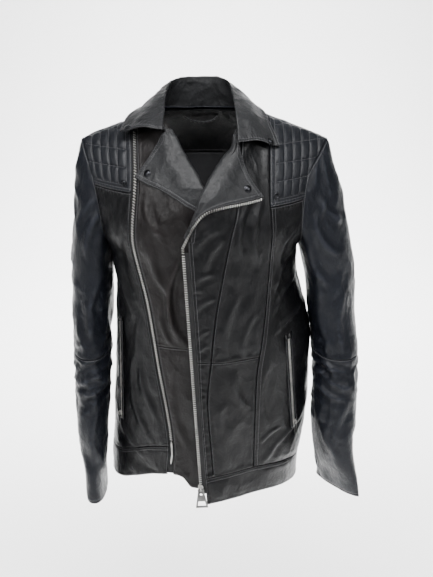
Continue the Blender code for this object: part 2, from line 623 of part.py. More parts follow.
def make_main_zip():
    axis = (ZIP_TOP - ZIP_BOTTOM).normalized()
    outward = Vector((0.0, -1.0, 0.0))
    turn = [Vector((-0.0345, -0.1640, -0.2050)), Vector((-0.0300, -0.1640, -0.1900))]
    straight = [ZIP_BOTTOM + (ZIP_TOP - ZIP_BOTTOM) * i / 6.0 for i in range(7)]
    strip("left_zip_chain", straight + turn, lambda i: outward, ZIP_CHAIN[0], ZIP_CHAIN[1], NICKEL_LOOK)
    tape = [point + Vector((0.0052, 0.0, 0.0)) for point in straight]
    strip("left_zip_tape", tape, lambda i: outward, 0.0054, 0.0006, CLOTH_LOOK)
    heights = [-0.0300 - 0.612 * i / 24.0 for i in range(25)]
    path = []
    for z in heights:
        x = station(INSET_ZIP, z)
        path.append(Vector((x, front_y(x, z) + 0.0004, z)))
    normals = [normal_at(p.x, p.z, front_y) for p in path]
    strip("right_zip_chain", path[:22], lambda i: normals[i], ZIP_CHAIN[0], ZIP_CHAIN[1], NICKEL_LOOK)
    tape = [p + Vector((-0.0050, 0.0, 0.0)) + n * -0.0006 for p, n in zip(path, normals)]
    tape = [Vector((p.x, front_y(p.x, p.z) + 0.0008, p.z)) for p in tape]
    strip("right_zip_tape", tape, lambda i: normals[i], 0.0050, 0.0006, CLOTH_LOOK)
    strip("zip_insertion_pin", [path[22] + normals[22] * 0.0002, path[23] + normals[23] * 0.0002, path[24]],
          lambda i: normals[22], 0.0032, 0.0020, NICKEL_LOOK)
    rest = ZIP_BOTTOM + axis * ((ZIP_SLIDER_Z - ZIP_BOTTOM.z) / axis.z)
    frame = zip_frame(rest, axis, outward)
    # The channel's open side faces the tape, which lies on the wearer's left of the teeth.
    slider("main_zip_slider", frame, 0.0100, 0.0150, NICKEL_LOOK)
    puller("main_zip_puller", frame, 0.0120, 0.0240, 0.0420, (0.0130, -0.0280, -0.0370), NICKEL_LOOK)
    box = zip_frame(ZIP_BOTTOM - axis * 0.0055, axis, outward)
    plate = outline_plate("zip_retainer_outline", [(-0.0050, -0.0045), (0.0050, -0.0045), (0.0050, 0.0045),
                                                   (-0.0050, 0.0045)], (), 0.0022)
    cutters.objects.link(plate)
    bpy.context.view_layer.update()
    solid = to_mesh(plate, box, "zip_retainer_box")
    bpy.data.objects.remove(plate)
    finish(solid, NICKEL_LOOK)


def make_lapels():
    lapel("right_lapel", RIGHT_LAPEL, front_y, False)
    lapel("left_lapel", LEFT_LAPEL, left_front, True)
    for (side, point), depth in zip(LAPEL_SNAPS, (front_y, left_front)):
        out = normal_at(*point, depth)
        centre = Vector((point[0], depth(*point) - LAPEL_LIFT, point[1])) + out * 0.0005
        disc(side + "_lapel_snap_cap", centre, out, *SNAP, GUNMETAL_LOOK)
    for side, point in YOKE_STUDS:
        out = normal_at(*point, front_y)
        centre = Vector((point[0], front_y(*point), point[1])) + out * 0.0006
        disc(side + "_yoke_stud", centre, out, *STUD[:2], GUNMETAL_LOOK, ring=STUD[2])
    path = []
    for i in range(15):
        share = 0.04 + 0.93 * i / 14.0
        at = on_line(LEFT_LAPEL[2], share)
        run = on_line(LEFT_LAPEL[2], share + 0.03) - on_line(LEFT_LAPEL[2], share - 0.03)
        aside = Vector((run.y, -run.x)).normalized() * 0.0050
        path.append(Vector((at.x + aside.x, left_front(*at) - LAPEL_LIFT + 0.0010, at.y + aside.y)))
    out = Vector((0.0, -1.0, 0.0))
    strip("left_lapel_zip_chain", path, lambda i: out, ZIP_CHAIN[0], ZIP_CHAIN[1], NICKEL_LOOK)


def spline_points(knots, count):
    """Points evenly spread by knot number on a smooth curve through the knots."""
    points = [Vector(k) for k in knots]
    out = []
    for i in range(count):
        u = (len(points) - 1) * i / (count - 1)
        k = min(int(u), len(points) - 2)
        f = u - k
        p0, p1 = points[max(k - 1, 0)], points[k]
        p2, p3 = points[k + 1], points[min(k + 2, len(points) - 1)]
        out.append(0.5 * (2.0 * p1 + (p2 - p0) * f + (2.0 * p0 - 5.0 * p1 + 4.0 * p2 - p3) * f * f
                          + (3.0 * p1 - p0 - 3.0 * p2 + p3) * f ** 3))
    return out


def make_collar():
    count = 25
    foot = spline_points(COLLAR_FOOT, count)
    roll = spline_points(COLLAR_ROLL, count)
    edge = spline_points(COLLAR_EDGE, count)
    rows = []
    for i in range(4):
        share = i / 3.0
        rows.append([f.lerp(r, share * 0.74) for f, r in zip(foot, roll)])
    surface("collar_stand", rows, 0.0020, LEATHER_LOOK, outward=True)
    rows = []
    for i in range(6):
        share = i / 5.0
        line = []
        for r, e, f in zip(roll, edge, foot):
            away = (e - f)
            away.z = 0.0
            away.normalize()
            point = r.lerp(e, share)
            swell = 0.006 * math.sin(math.pi * min(share * 1.2, 1.0))
            line.append(point + Vector((0.0, 0.0, swell + 0.002)) + away * (0.004 + swell * 0.3))
        rows.append(line)
    surface("collar_leaf", rows, 0.0024, LEATHER_LOOK, outward=True)
    for side, point, column in (("right", rows[4][0].lerp(rows[4][2], 0.25), 0),
                                ("left", rows[4][-1].lerp(rows[4][-3], 0.25), -1)):
        around = rows[4][2 if column == 0 else -3] - rows[4][column]
        down = rows[5][column] - rows[3][column]
        out = around.cross(down).normalized()
        if out.z < 0:
            out.negate()
        disc(side + "_collar_snap_cap", point + out * 0.0043, out, *SNAP, GUNMETAL_LOOK)


def sleeve_at(table, z):
    rows = sorted(table)
    columns = zip(*rows)
    heights = next(columns)
    return [station(tuple(zip(heights, column)), z) for column in columns]


def sleeve_point(table, sign, angle, z, inset=0.0):
    """Point of a sleeve's outside: angle 0 is outermost, 90 the front, 180 innermost, 270 the back."""
    cx, cy, wide, deep, turn = sleeve_at(table, z)
    c, s = math.cos(angle), math.sin(angle)
    x = (wide - inset) * math.copysign(abs(c) ** 0.9, c)
    y = -(deep - inset) * math.copysign(abs(s) ** 0.9, s)
    turn = math.radians(turn)
    return Vector((cx + sign * (x * math.cos(turn) - y * math.sin(turn)),
                   cy + x * math.sin(turn) * -0.35 + y * math.cos(turn), z))


def armhole_point(sign, angle, gap):
    z = SHOULDER_Z + (ARMPIT_Z - SHOULDER_Z) * (1.0 - math.cos(angle)) / 2.0
    if math.sin(angle) >= 0.0:
        x = station(LEFT_ARMHOLE if sign > 0 else RIGHT_ARMHOLE, z)
        y = front_y(x, z)
    else:
        x = sign * station(BACK_ARMHOLE, z)
        y = back_y(x, z)
    return Vector((x + sign * gap, y, z + gap * math.cos(angle) * 0.5))


def sleeve_rows(table, sign, around, z_ends, steps, inset, from_armhole):
    rows = []
    for i in range(steps + 1):
        s = i / steps
        line = []
        for j in range(around):
            angle = 2.0 * math.pi * j / around
            low = z_ends[1] if isinstance(z_ends[1], float) else z_ends[1](angle)
            if from_armhole:
                start = armhole_point(sign, angle, 0.0016)
                top = start.z
            else:
                top = z_ends[0]
            z = top + (low - top) * s
            point = sleeve_point(table, sign, angle, z, inset)
            if from_armhole:
                base = sleeve_point(table, sign, angle, top, inset)
                shift = start - base
                if inset:
                    centre = Vector((start.x, 0.0, (SHOULDER_Z + ARMPIT_Z) / 2.0))
                    shift += (centre - start).normalized() * inset * 2.2 + Vector((sign * 0.0015, 0.0, 0.0))
                point += shift * (1.0 - s) ** 3
            line.append(point)
        rows.append(line)
    return rows


def make_sleeves():
    for side, sign, table, cuff in (("right", -1, RIGHT_SLEEVE, CUFF_Z[0]),
                                    ("left", 1, LEFT_SLEEVE, CUFF_Z[1])):
        outward = sign < 0
        rows = sleeve_rows(table, sign, 20, (0.0, ELBOW_Z), 8, 0.0, True)
        surface(side + "_upper_sleeve", rows, LEATHER, LEATHER_LOOK, True, outward)
        rows = sleeve_rows(table, sign, 16, (0.0, ELBOW_Z + 0.001), 8, 0.0065, True)
        surface(side + "_upper_sleeve_lining", rows, LINING, CLOTH_LOOK, True, outward)
        rows = sleeve_rows(table, sign, 20, (ELBOW_Z - 0.0012, cuff), 7, 0.0, False)
        surface(side + "_forearm_sleeve", rows, LEATHER, LEATHER_LOOK, True, outward)
        rows = sleeve_rows(table, sign, 16, (ELBOW_Z - 0.0060, cuff + 0.018), 6, 0.0050, False)
        surface(side + "_forearm_lining", rows, LINING, CLOTH_LOOK, True, outward)


def make_small_zip(top, bottom, out, wide, look, names, tab):
    """Straight zip lying on a panel: chain, slider at its lower end, tab, all square to out."""
    axis = (top - bottom).normalized()
    frame = zip_frame(bottom, axis, out)
    out = frame.to_3x3() @ Vector((0.0, 0.0, 1.0))
    path = [bottom - axis * 0.010 + (top + axis * 0.004 - bottom + axis * 0.010) * i / 3.0 for i in range(4)]
    strip(names[0], path, lambda i: out, POCKET_CHAIN[0], POCKET_CHAIN[1], look)
    slider(names[1], frame, wide, 0.0090, look)
    puller(names[2], frame, *tab, look)


def make_pockets():
    for side, sign, top, bottom in POCKETS:
        depth = left_front if sign > 0 else front_y
        out = (normal_at(*top, depth) + normal_at(*bottom, depth)).normalized()
        ends = [Vector((x, depth(x, z), z)) for x, z in (top, bottom)]
        lift = 0.0062
        make_small_zip(ends[0] + out * lift, ends[1] + out * lift, out, 0.0080, NICKEL_LOOK,
                       [side + "_pocket_zip_" + part for part in ("chain", "slider", "puller")],
                       (0.0064, 0.0070, 0.0270, (0.0030, -0.0080, -0.0245)))
        bag = []
        for i in range(5):
            z = top[1] + 0.005 + (bottom[1] - 0.020 - top[1]) * i / 4.0
            line = []
            for j in range(5):
                x = station(((bottom[1], bottom[0]), (top[1], top[0])), z) - sign * 0.085 * j / 4.0
                line.append((x, front_y(x, z, 0.0036), z))
            bag.append(line)
        surface(side + "_pocket_bag", bag, 0.0006, CLOTH_LOOK, outward=sign > 0)


def make_cuff_zips():
    for side, angle, high, low in CUFF_ZIPS:
        sign = -1 if side == "right" else 1
        table = RIGHT_SLEEVE if sign < 0 else LEFT_SLEEVE
        angle = math.radians(360.0 - angle)
        top = sleeve_point(table, sign, angle, high)
        bottom = sleeve_point(table, sign, angle, low)
        step = 0.06
        around = sleeve_point(table, sign, angle + step, low) - sleeve_point(table, sign, angle - step, low)
        out = around.cross(top - bottom).normalized()
        if out.y < 0.0:
            out.negate()
        lift = 0.0068
        make_small_zip(top + out * lift, bottom + out * lift, out, 0.0080, NICKEL_LOOK,
                       [side + "_cuff_zip_" + part for part in ("chain", "slider", "puller")],
                       (0.0064, 0.0070, 0.0240, (0.0030, -0.0080, -0.0210)))


clear()
make_body()
make_linings()
make_lapels()
make_collar()
make_main_zip()
make_pockets()
make_sleeves()
make_cuff_zips()
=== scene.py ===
"""Looks of the leather riding jacket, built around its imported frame.

Metres. +Z is up, the chest faces -Y, and the wearer's left side is +X. The body surfaces repeat the CAD
model's measures; seams, stitches, quilting, zip teeth and the leather's folds are added here.
"""

import json
import math

import bmesh
import bpy
import numpy as np
from mathutils import Matrix, Vector


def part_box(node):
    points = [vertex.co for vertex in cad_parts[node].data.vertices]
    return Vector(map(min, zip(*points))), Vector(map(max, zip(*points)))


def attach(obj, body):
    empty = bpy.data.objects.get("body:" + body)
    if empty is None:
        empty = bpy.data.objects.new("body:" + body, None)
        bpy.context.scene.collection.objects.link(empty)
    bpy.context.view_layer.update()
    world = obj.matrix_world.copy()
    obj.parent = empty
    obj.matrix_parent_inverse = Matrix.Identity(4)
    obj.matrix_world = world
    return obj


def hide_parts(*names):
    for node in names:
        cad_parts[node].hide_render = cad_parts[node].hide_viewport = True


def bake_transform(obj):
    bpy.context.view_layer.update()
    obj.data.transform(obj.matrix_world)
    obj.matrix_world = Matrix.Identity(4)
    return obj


# Thickness of the sheets.
LEATHER = 0.0012
HEM_LEATHER = 0.0024
LAPEL_THICKNESS = 0.0020
COLLAR_THICKNESS = 0.0021
FACING_LEATHER = 0.0008
CLOTH = 0.0006
TAPE = 0.0008
LINING_GAP = 0.0085

# Spacing of the grids that the pieces are made of, the length that the sleeves' rows are spread for, and
# the number of points around each sleeve and along its lining.
STEP = 0.0028
QUILT_STEP = 0.0016
LAPEL_STEP = 0.0017
COLLAR_STEP = 0.0019
SLEEVE_STEP = 0.0036
SLEEVE_LENGTH = 0.30
SLEEVE_AROUND = 132
LINING_AROUND = 72
LINING_ROWS = 60

# Half sections: (height, position) stations.
RIGHT_SIDE = ((-0.80, -0.196), (-0.73, -0.193), (-0.68, -0.190), (-0.59, -0.184), (-0.455, -0.175),
              (-0.34, -0.168), (-0.245, -0.170), (-0.20, -0.190), (-0.15, -0.204), (-0.10, -0.222),
              (0.03, -0.270))
LEFT_SIDE = ((-0.80, 0.186), (-0.71, 0.187), (-0.63, 0.1945), (-0.54, 0.2030), (-0.43, 0.2005),
             (-0.38, 0.1930), (-0.34, 0.182), (-0.29, 0.171), (-0.245, 0.170), (-0.20, 0.188), (-0.15, 0.200),
             (-0.10, 0.217), (0.03, 0.270))
RIGHT_ARMHOLE = ((-0.245, -0.170), (-0.20, -0.178), (-0.155, -0.184), (-0.122, -0.190), (-0.096, -0.197),
                 (-0.0745, -0.206), (-0.050, -0.2155))
LEFT_ARMHOLE = ((-0.245, 0.170), (-0.20, 0.169), (-0.155, 0.1705), (-0.1187, 0.1735), (-0.0958, 0.181),
                (-0.0745, 0.198), (-0.050, 0.2155))
BACK_ARMHOLE = ((-0.245, 0.170), (-0.225, 0.177), (-0.18, 0.184), (-0.13, 0.192), (-0.09, 0.202),
                (-0.050, 0.2155))
FRONT_DEPTH = ((-0.80, 0.150), (-0.20, 0.150), (-0.12, 0.143), (0.05, 0.130))
BACK_DEPTH = ((-0.80, 0.100), (-0.60, 0.096), (-0.45, 0.094), (-0.25, 0.108), (-0.12, 0.104), (0.05, 0.090))
ARMPIT_Z = -0.245
SHOULDER_Z = -0.050
RIDGE = (0.003, 0.078, 0.384)
RIDGE_GAP = 0.0007
FRONT_ROUNDING = (0.17, 1.5)
BACK_ROUNDING = (0.13, 2.0)
FRONT_SECTION = 2.3
BACK_SECTION = 2.5
HEM_RIGHT = ((-0.193, -0.729), (-0.16, -0.706), (-0.14, -0.692), (-0.097, -0.672), (-0.06, -0.666),
             (-0.045, -0.670), (-0.026, -0.693), (0.01, -0.697))
HEM_LEFT = ((-0.005, -0.7255), (0.037, -0.716), (0.10, -0.714), (0.158, -0.724), (0.187, -0.742))
HEM_BACK = ((-0.193, -0.729), (-0.10, -0.735), (0.0, -0.738), (0.10, -0.739), (0.187, -0.742))
HEM_BAND_RIGHT = 0.062
HEM_BAND_LEFT = 0.060
HALF_SEAM = 0.0003

# Seams of the fronts: (height, x).
INSET_ZIP = ((-0.76, -0.070), (-0.6425, -0.0655), (-0.618, -0.063), (-0.425, -0.0855), (-0.316, -0.100),
             (-0.190, -0.1225), (-0.097, -0.117), (0.0, -0.123))
UNDERLAP = ((-0.76, 0.000), (-0.60, 0.010), (-0.21, 0.012), (-0.150, 0.008), (-0.122, 0.006),
            (-0.105, -0.001), (-0.0165, -0.059), (0.01, -0.077))
LEFT_ROLL = ((-0.187, -0.0225), (-0.1503, -0.0177), (-0.1337, -0.0100), (-0.1172, -0.0040),
             (-0.0992, 0.0040), (-0.0799, 0.0165), (-0.0584, 0.0340), (-0.0447, 0.0460), (-0.017, 0.054),
             (0.01, 0.060))
MID_SEAM = ((-0.76, 0.022), (-0.62, 0.0125), (-0.49, 0.0050), (-0.42, 0.011), (-0.33, 0.0195),
            (-0.245, 0.0335), (-0.18, 0.046), (-0.137, 0.056), (0.01, 0.067))
PRINCESS_SEAM = ((-0.76, 0.092), (-0.61, 0.092), (-0.46, 0.094), (-0.38, 0.103), (-0.28, 0.1115),
                 (-0.185, 0.116), (-0.12, 0.112), (0.01, 0.112))
ZIP_TOP = Vector((-0.0340, -0.1640, -0.2220))
ZIP_BOTTOM = Vector((-0.0078, -0.1640, -0.7000))
# Clear strips beside the inset zip, on its outer and inner sides.
INSET_OUTER_GAP = 0.0060
INSET_INNER_GAP = 0.0048
WAIST_RIGHT_Z = -0.3950
WAIST_LEFT_Z = -0.4150
YOKE_RIGHT_Z = -0.1190
YOKE_LEFT_Z = -0.1400
BACK_YOKE_Z = -0.1700
ZIP_SLIDER_Z = -0.6830

RIGHT_ROLL_DEPTH = ((-0.205, -0.146), (-0.150, -0.145), (-0.118, -0.141), (-0.100, -0.134),
                    (-0.0165, -0.058), (0.01, -0.033))
LEFT_ROLL_DEPTH = ((-0.205, -0.150), (-0.150, -0.149), (-0.118, -0.144), (-0.100, -0.136),
                   (-0.0165, -0.060), (0.01, -0.035))
ROLL_REACH = 0.05
ROLL_END = (-0.205, 0.045)
CLOSURE_STEP = 0.0125
LAPEL_LIFT = 0.0060
# Lapels folded out on the chest, as (x, z): the roll from the neck down, the outer edge from the notch to
# the tip, and the lower edge from the roll to the tip.
RIGHT_LAPEL = (((-0.0585, -0.0190), (-0.0300, -0.0612), (-0.0012, -0.1035), (0.0002, -0.1160),
                (-0.0035, -0.1290), (-0.0085, -0.1405)),
               ((-0.0705, -0.0235), (-0.0913, -0.0575), (-0.1186, -0.0920)),
               ((-0.0085, -0.1405), (-0.0311, -0.1281), (-0.0479, -0.1186), (-0.0647, -0.1109),
                (-0.0818, -0.1050), (-0.0991, -0.1001), (-0.1186, -0.0920)))
LEFT_LAPEL = (((0.0535, -0.0250), (0.0486, -0.0436), (0.0334, -0.0593), (0.0169, -0.0801), (0.0038, -0.0990),
               (-0.0043, -0.1163), (-0.0093, -0.1319), (-0.0176, -0.1484), (-0.0250, -0.1640),
               (-0.0310, -0.1790)),
              ((0.0560, -0.0340), (0.0770, -0.0868), (0.1016, -0.1195)),
              ((-0.0310, -0.1790), (-0.0262, -0.1658), (-0.0193, -0.1553), (-0.0110, -0.1434),
               (-0.0011, -0.1352), (0.0104, -0.1295), (0.0350, -0.1252), (0.0599, -0.1240),
               (0.0853, -0.1225), (0.1016, -0.1195)))
# Line about which each lapel's surface passes over from the body; the joint's own axis is in the frame.
LAPEL_BEND = {"right": ((-0.0585, -0.0610, -0.0190), (-0.0012, -0.1387, -0.1035)),
               "left": ((0.0486, -0.0905, -0.0436), (-0.0130, -0.1600, -0.1400))}
LAPEL_SNAPS = (("right", (-0.0950, -0.0851)), ("left", (0.0735, -0.1053)))
YOKE_STUDS = (("right", (-0.1366, -0.1055)), ("left", (0.1225, -0.1238)))

COLLAR_FOOT = ((-0.0690, -0.0720, -0.0130), (-0.0745, -0.0380, -0.0005), (-0.0790, 0.0030, 0.0085),
               (-0.0600, 0.0480, 0.0090), (-0.0080, 0.0680, 0.0070), (0.0520, 0.0480, 0.0090),
               (0.0770, 0.0050, 0.0085), (0.0705, -0.0370, 0.0008), (0.0590, -0.0800, -0.0240))
COLLAR_ROLL = ((-0.0704, -0.0860, -0.0165), (-0.0675, -0.0480, 0.0055), (-0.0662, 0.0000, 0.0280),
               (-0.0520, 0.0480, 0.0420), (-0.0080, 0.0660, 0.0430), (0.0360, 0.0480, 0.0420),
               (0.0478, 0.0000, 0.0270), (0.0540, -0.0620, 0.0030), (0.0582, -0.0930, -0.0370))
COLLAR_EDGE = ((-0.1418, -0.0500, -0.0274), (-0.1310, -0.0100, -0.0100), (-0.1120, 0.0300, -0.0070),
               (-0.0780, 0.0780, -0.0120), (-0.0080, 0.0980, -0.0160), (0.0640, 0.0780, -0.0130),
               (0.0980, 0.0220, -0.0060), (0.1090, -0.0280, -0.0160), (0.1260, -0.0620, -0.0500))

# Sleeves: (height, centre x, centre y, half width, half depth, turn of the long axis in degrees).
LEFT_SLEEVE = ((-0.050, 0.2080, 0.000, 0.018, 0.060, 0.0), (-0.100, 0.2090, 0.000, 0.031, 0.075, 0.0),
               (-0.165, 0.2145, 0.000, 0.042, 0.078, 0.0), (-0.250, 0.2275, -0.002, 0.045, 0.074, 0.0),
               (-0.350, 0.2385, -0.012, 0.044, 0.069, 0.0), (-0.437, 0.2475, -0.030, 0.0430, 0.065, 3.0),
               (-0.513, 0.2485, -0.046, 0.0405, 0.062, 6.0), (-0.598, 0.2480, -0.060, 0.0375, 0.058, 10.0),
               (-0.660, 0.2520, -0.068, 0.0330, 0.055, 20.0), (-0.707, 0.2600, -0.072, 0.0270, 0.053, 32.0),
               (-0.745, 0.2650, -0.074, 0.0230, 0.052, 40.0))
RIGHT_SLEEVE = ((-0.050, -0.2010, 0.000, 0.014, 0.060, 0.0), (-0.100, -0.2040, 0.000, 0.024, 0.075, 0.0),
                (-0.190, -0.2080, 0.000, 0.031, 0.078, 0.0), (-0.250, -0.2110, -0.002, 0.0345, 0.075, 0.0),
                (-0.350, -0.2130, -0.012, 0.0360, 0.070, 0.0), (-0.440, -0.2160, -0.030, 0.0350, 0.066, 0.0),
                (-0.558, -0.2200, -0.052, 0.0290, 0.060, 0.0), (-0.638, -0.2190, -0.064, 0.0245, 0.056, 0.0),
                (-0.707, -0.2195, -0.074, 0.0210, 0.052, 0.0), (-0.750, -0.2190, -0.078, 0.0200, 0.050, 0.0))
SLEEVE_TABLES = {"right": RIGHT_SLEEVE, "left": LEFT_SLEEVE}
# Angles of the two seams along each sleeve, in degrees.
SLEEVE_SEAMS = (205.0, 292.0)
ELBOW_Z = -0.4450
# Stretch over which a sleeve passes from the body to the upper arm, on +X, and from there to the forearm.
SHOULDER_BLEND = ((0.1930, 0.0, -0.1475), (0.2370, 0.0, -0.1575))
ELBOW_Y = -0.03
ELBOW_BLEND_END_Z = -0.5600
CUFF_Z = {"right": -0.748, "left": -0.741}
# Sides as (name, sign of x); pockets also with the top and the bottom of their zips as (x, z).
SIDES = (("right", -1), ("left", 1))
POCKETS = (("right", -1, (-0.1510, -0.3720), (-0.1555, -0.5600)),
           ("left", 1, (0.1480, -0.3960), (0.1640, -0.5720)))

# Distances from a sewn edge at which the grid has a line; the stitches lie on two of them.
EDGE_LINES = (0.0, 0.0006, 0.0013, 0.0020, 0.0028, 0.0040, 0.0056, 0.0068, 0.0076, 0.0086, 0.0104, 0.0130)
NEAR_STITCH = 3
FAR_STITCH = 8
# A seam's allowance is turned down behind the surface and a little under the neighbouring panel.
ALLOWANCE_DEPTH = 0.0016
ALLOWANCE_REACH = 0.0012

STITCH_PITCH = 0.0034
STITCH_SINK = -0.00012
STITCH_TURN = 0.16
BODY_RIPPLE = 0.0066
LAPEL_RIPPLE = 0.0050

# Quilting: width and height of a square, and the flat border at its sewn edges.
QUILT_RIGHT = (0.0165, 0.0260)
QUILT_LEFT = (0.0165, 0.0270)
QUILT_BORDER = 0.0105
QUILT_PUFF = 0.0030
QUILT_SINK = 0.0010

# Zip teeth as (width, length, height, side of the head), and the distance from one to the next.
MAIN_PITCH = 0.0044
MAIN_TOOTH = (0.0044, 0.0018, 0.0024, 1.0)
INSET_STRETCH = 1.12
INSET_TURN = 0.62
LAPEL_PITCH = 0.0042
LAPEL_TOOTH = (0.0039, 0.0016, 0.0023, 1.0)
LAPEL_TURN = 0.3
SMALL_PITCH = 0.0030
SMALL_TOOTH = (0.0026, 0.0017, 0.0020, 1.0)
SMALL_ROW_GAP = 0.0011
BRIDGE_HEIGHT = 0.0048
SLIDER_PLATE_Z = 0.0021

# One lip of a small zip's welt as (distance from the middle, height, share taken from the panel below).
WELT_LIP = ((-0.0105, -0.0002, 1.0), (-0.0088, 0.0012, 0.5), (-0.0070, 0.0002, 0.0), (-0.0056, 0.0010, 0.0),
            (-0.0044, 0.0011, 0.0), (-0.0034, 0.0004, 0.0), (-0.0031, -0.0012, 0.0), (-0.0016, -0.0018, 0.0),
            (0.0, -0.0019, 0.0))

# Snap caps and yoke rings as (radius, height), and how far they stand off the leather.
SNAP_PROFILE = ((0.0, 0.0030), (0.0014, 0.00296), (0.0028, 0.00270), (0.0041, 0.00222), (0.0050, 0.00160),
                (0.0055, 0.00105), (0.0057, 0.00072), (0.0060, 0.00066), (0.0064, 0.00052), (0.0066, 0.00026),
                (0.0066, -0.0008), (0.0058, -0.0012))
STUD_PROFILE = ((0.0023, -0.0010), (0.0023, 0.0004), (0.0025, 0.0012), (0.0030, 0.0018), (0.0038, 0.0021),
                (0.0047, 0.0019), (0.0055, 0.0012), (0.0060, 0.0004), (0.0060, -0.0010), (0.0023, -0.0010))
SNAP_LIFT = 0.0006
STUD_LIFT = 0.0004

# Hanger loop: (x, distance in front of the back's inside, z), from end to end.
HANGER = ((-0.0385, 0.0035, -0.024), (-0.034, 0.0050, -0.027), (-0.026, 0.0080, -0.032),
          (-0.008, 0.0095, -0.036), (0.010, 0.0092, -0.034), (0.018, 0.0060, -0.029),
          (0.0225, 0.0035, -0.024))
HANGER_RADIUS = 0.0016

# Camera: focal length and sensor in millimetres, place, and pitch down from level in degrees.
CAMERA_LENS = 53.53206
CAMERA_SENSOR = 36.0
CAMERA_AT = (0.021, -1.5, 0.32)
CAMERA_PITCH = 23.8

# Lights as (name, place, target, size, power).
BACKDROP_LIGHT = ("backdrop_light", (0.0, 1.1, 1.6), (0.0, 2.3, -1.0), (2.2, 0.8), 290.0)
BACKDROP_SPREAD = 125.0
LIGHTS = (("overhead", (0.0, -0.9, 1.7), (0.0, 0.0, -0.2), (1.2, 0.6), 46.0),
          ("front_left", (-1.5, -1.9, 1.30), (0.0, 0.0, -0.12), (0.5, 0.9), 29.0),
          ("front_right", (1.7, -1.5, 1.10), (0.0, 0.0, -0.12), (0.45, 0.9), 17.0))
WORLD_STRENGTH = 0.10
FLOOR_Z = -1.25
SWEEP_RADIUS = 1.6
SWEEP_START_Y = 2.2
SWEEP_FRONT_Y = -6.0
SWEEP_TOP_Z = 5.0
SWEEP_HALF_WIDTH = 7.0

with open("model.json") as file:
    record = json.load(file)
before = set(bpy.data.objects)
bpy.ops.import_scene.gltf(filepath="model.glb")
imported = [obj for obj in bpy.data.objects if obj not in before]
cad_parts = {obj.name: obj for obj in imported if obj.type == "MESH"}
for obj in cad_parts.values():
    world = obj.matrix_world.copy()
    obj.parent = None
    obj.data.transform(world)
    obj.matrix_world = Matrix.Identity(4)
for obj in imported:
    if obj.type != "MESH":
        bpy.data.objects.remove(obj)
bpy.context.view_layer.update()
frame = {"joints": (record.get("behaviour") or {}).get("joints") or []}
joints = {joint["name"]: joint for joint in frame["joints"]}
scene = bpy.context.scene
# Filled while the pieces are made: stitches by the body they ride on, finished yokes, and lapel blends.
seams = {}
yokes = {}
bend = {}


# ---------------------------------------------------------------- measures of the garment

def track(table):
    """Smooth function of height through the stations, without overshoot."""
    rows = sorted(table)
    xs = np.array([r[0] for r in rows])
    ys = np.array([r[1] for r in rows])
    h = np.diff(xs)
    d = np.diff(ys) / h
    slope = np.zeros(len(xs))
    slope[0], slope[-1] = d[0], d[-1]
    for i in range(1, len(xs) - 1):
        if d[i - 1] * d[i] > 0:
            w1, w2 = 2 * h[i] + h[i - 1], h[i] + 2 * h[i - 1]
            slope[i] = (w1 + w2) / (w1 / d[i - 1] + w2 / d[i])

    def value(z):
        z = np.clip(np.asarray(z, float), xs[0], xs[-1])
        k = np.clip(np.searchsorted(xs, z, side="right") - 1, 0, len(xs) - 2)
        t = (z - xs[k]) / h[k]
        a = (1 + 2 * t) * (1 - t) ** 2
        b = t * (1 - t) ** 2
        c = t * t * (3 - 2 * t)
        e = t * t * (t - 1)
        return a * ys[k] + b * h[k] * slope[k] + c * ys[k + 1] + e * h[k] * slope[k + 1]
    return value


def straight(table):
    """Function of height through the stations in straight runs."""
    rows = sorted(table)
    xs = [r[0] for r in rows]
    ys = [r[1] for r in rows]
    return lambda z: np.interp(z, xs, ys)


right_side = track(RIGHT_SIDE)
left_side = track(LEFT_SIDE)
right_armhole = track(RIGHT_ARMHOLE)
left_armhole = track(LEFT_ARMHOLE)
back_armhole = track(BACK_ARMHOLE)
front_depth = track(FRONT_DEPTH)
back_depth = track(BACK_DEPTH)
inset_zip = track(INSET_ZIP)
underlap = straight(UNDERLAP)
left_roll = straight(LEFT_ROLL)
right_roll_depth = straight(RIGHT_ROLL_DEPTH)
left_roll_depth = straight(LEFT_ROLL_DEPTH)
mid_seam = track(MID_SEAM)
princess_seam = track(PRINCESS_SEAM)
hem_right = track(HEM_RIGHT)
hem_left = track(HEM_LEFT)
hem_back = track(HEM_BACK)


def smooth(value):
    value = np.clip(value, 0.0, 1.0)
    return value * value * (3.0 - 2.0 * value)


def unit(vectors):
    return vectors / np.maximum(np.linalg.norm(vectors, axis=-1, keepdims=True), 1e-12)


def travelled(points, axis=0):
    """Length from the first point onwards, along one axis of a path or a grid."""
    runs = np.linalg.norm(np.diff(points, axis=axis), axis=-1)
    return np.concatenate([np.zeros_like(np.take(runs, [0], axis)), np.cumsum(runs, axis)], axis)


def through(p0, p1, p2, p3, f):
    """Smooth curve from p1 (f = 0) to p2 (f = 1), with p0 before them and p3 after."""
    return 0.5 * (2 * p1 + (p2 - p0) * f + (2 * p0 - 5 * p1 + 4 * p2 - p3) * f ** 2
                  + (3 * p1 - p0 - 3 * p2 + p3) * f ** 3)


def line_at(knots, u):
    """Points of a smooth line through the knots, at shares u of the knot count."""
    knots = np.array(knots, float)
    u = np.clip(np.asarray(u, float), 0.0, 1.0) * (len(knots) - 1)
    k = np.minimum(u.astype(int), len(knots) - 2)
    f = (u - k).reshape(u.shape + (1,) * (knots.ndim - 1))
    around = (knots[np.clip(k + i, 0, len(knots) - 1)] for i in (-1, 0, 1, 2))
    return through(*around, f)


def sides(z):
    """Middle and half width of the body at a height."""
    left, right = left_side(z), right_side(z)
    return (left + right) / 2.0, (left - right) / 2.0


def ridge(x):
    """Height of the shoulder line, where front and back meet."""
    return RIDGE[0] - RIDGE[2] * (np.abs(x) - RIDGE[1])


def neckline(x):
    return np.where(np.abs(x) > RIDGE[1], ridge(x), RIDGE[0] - 0.9 * (RIDGE[1] - np.abs(x)))


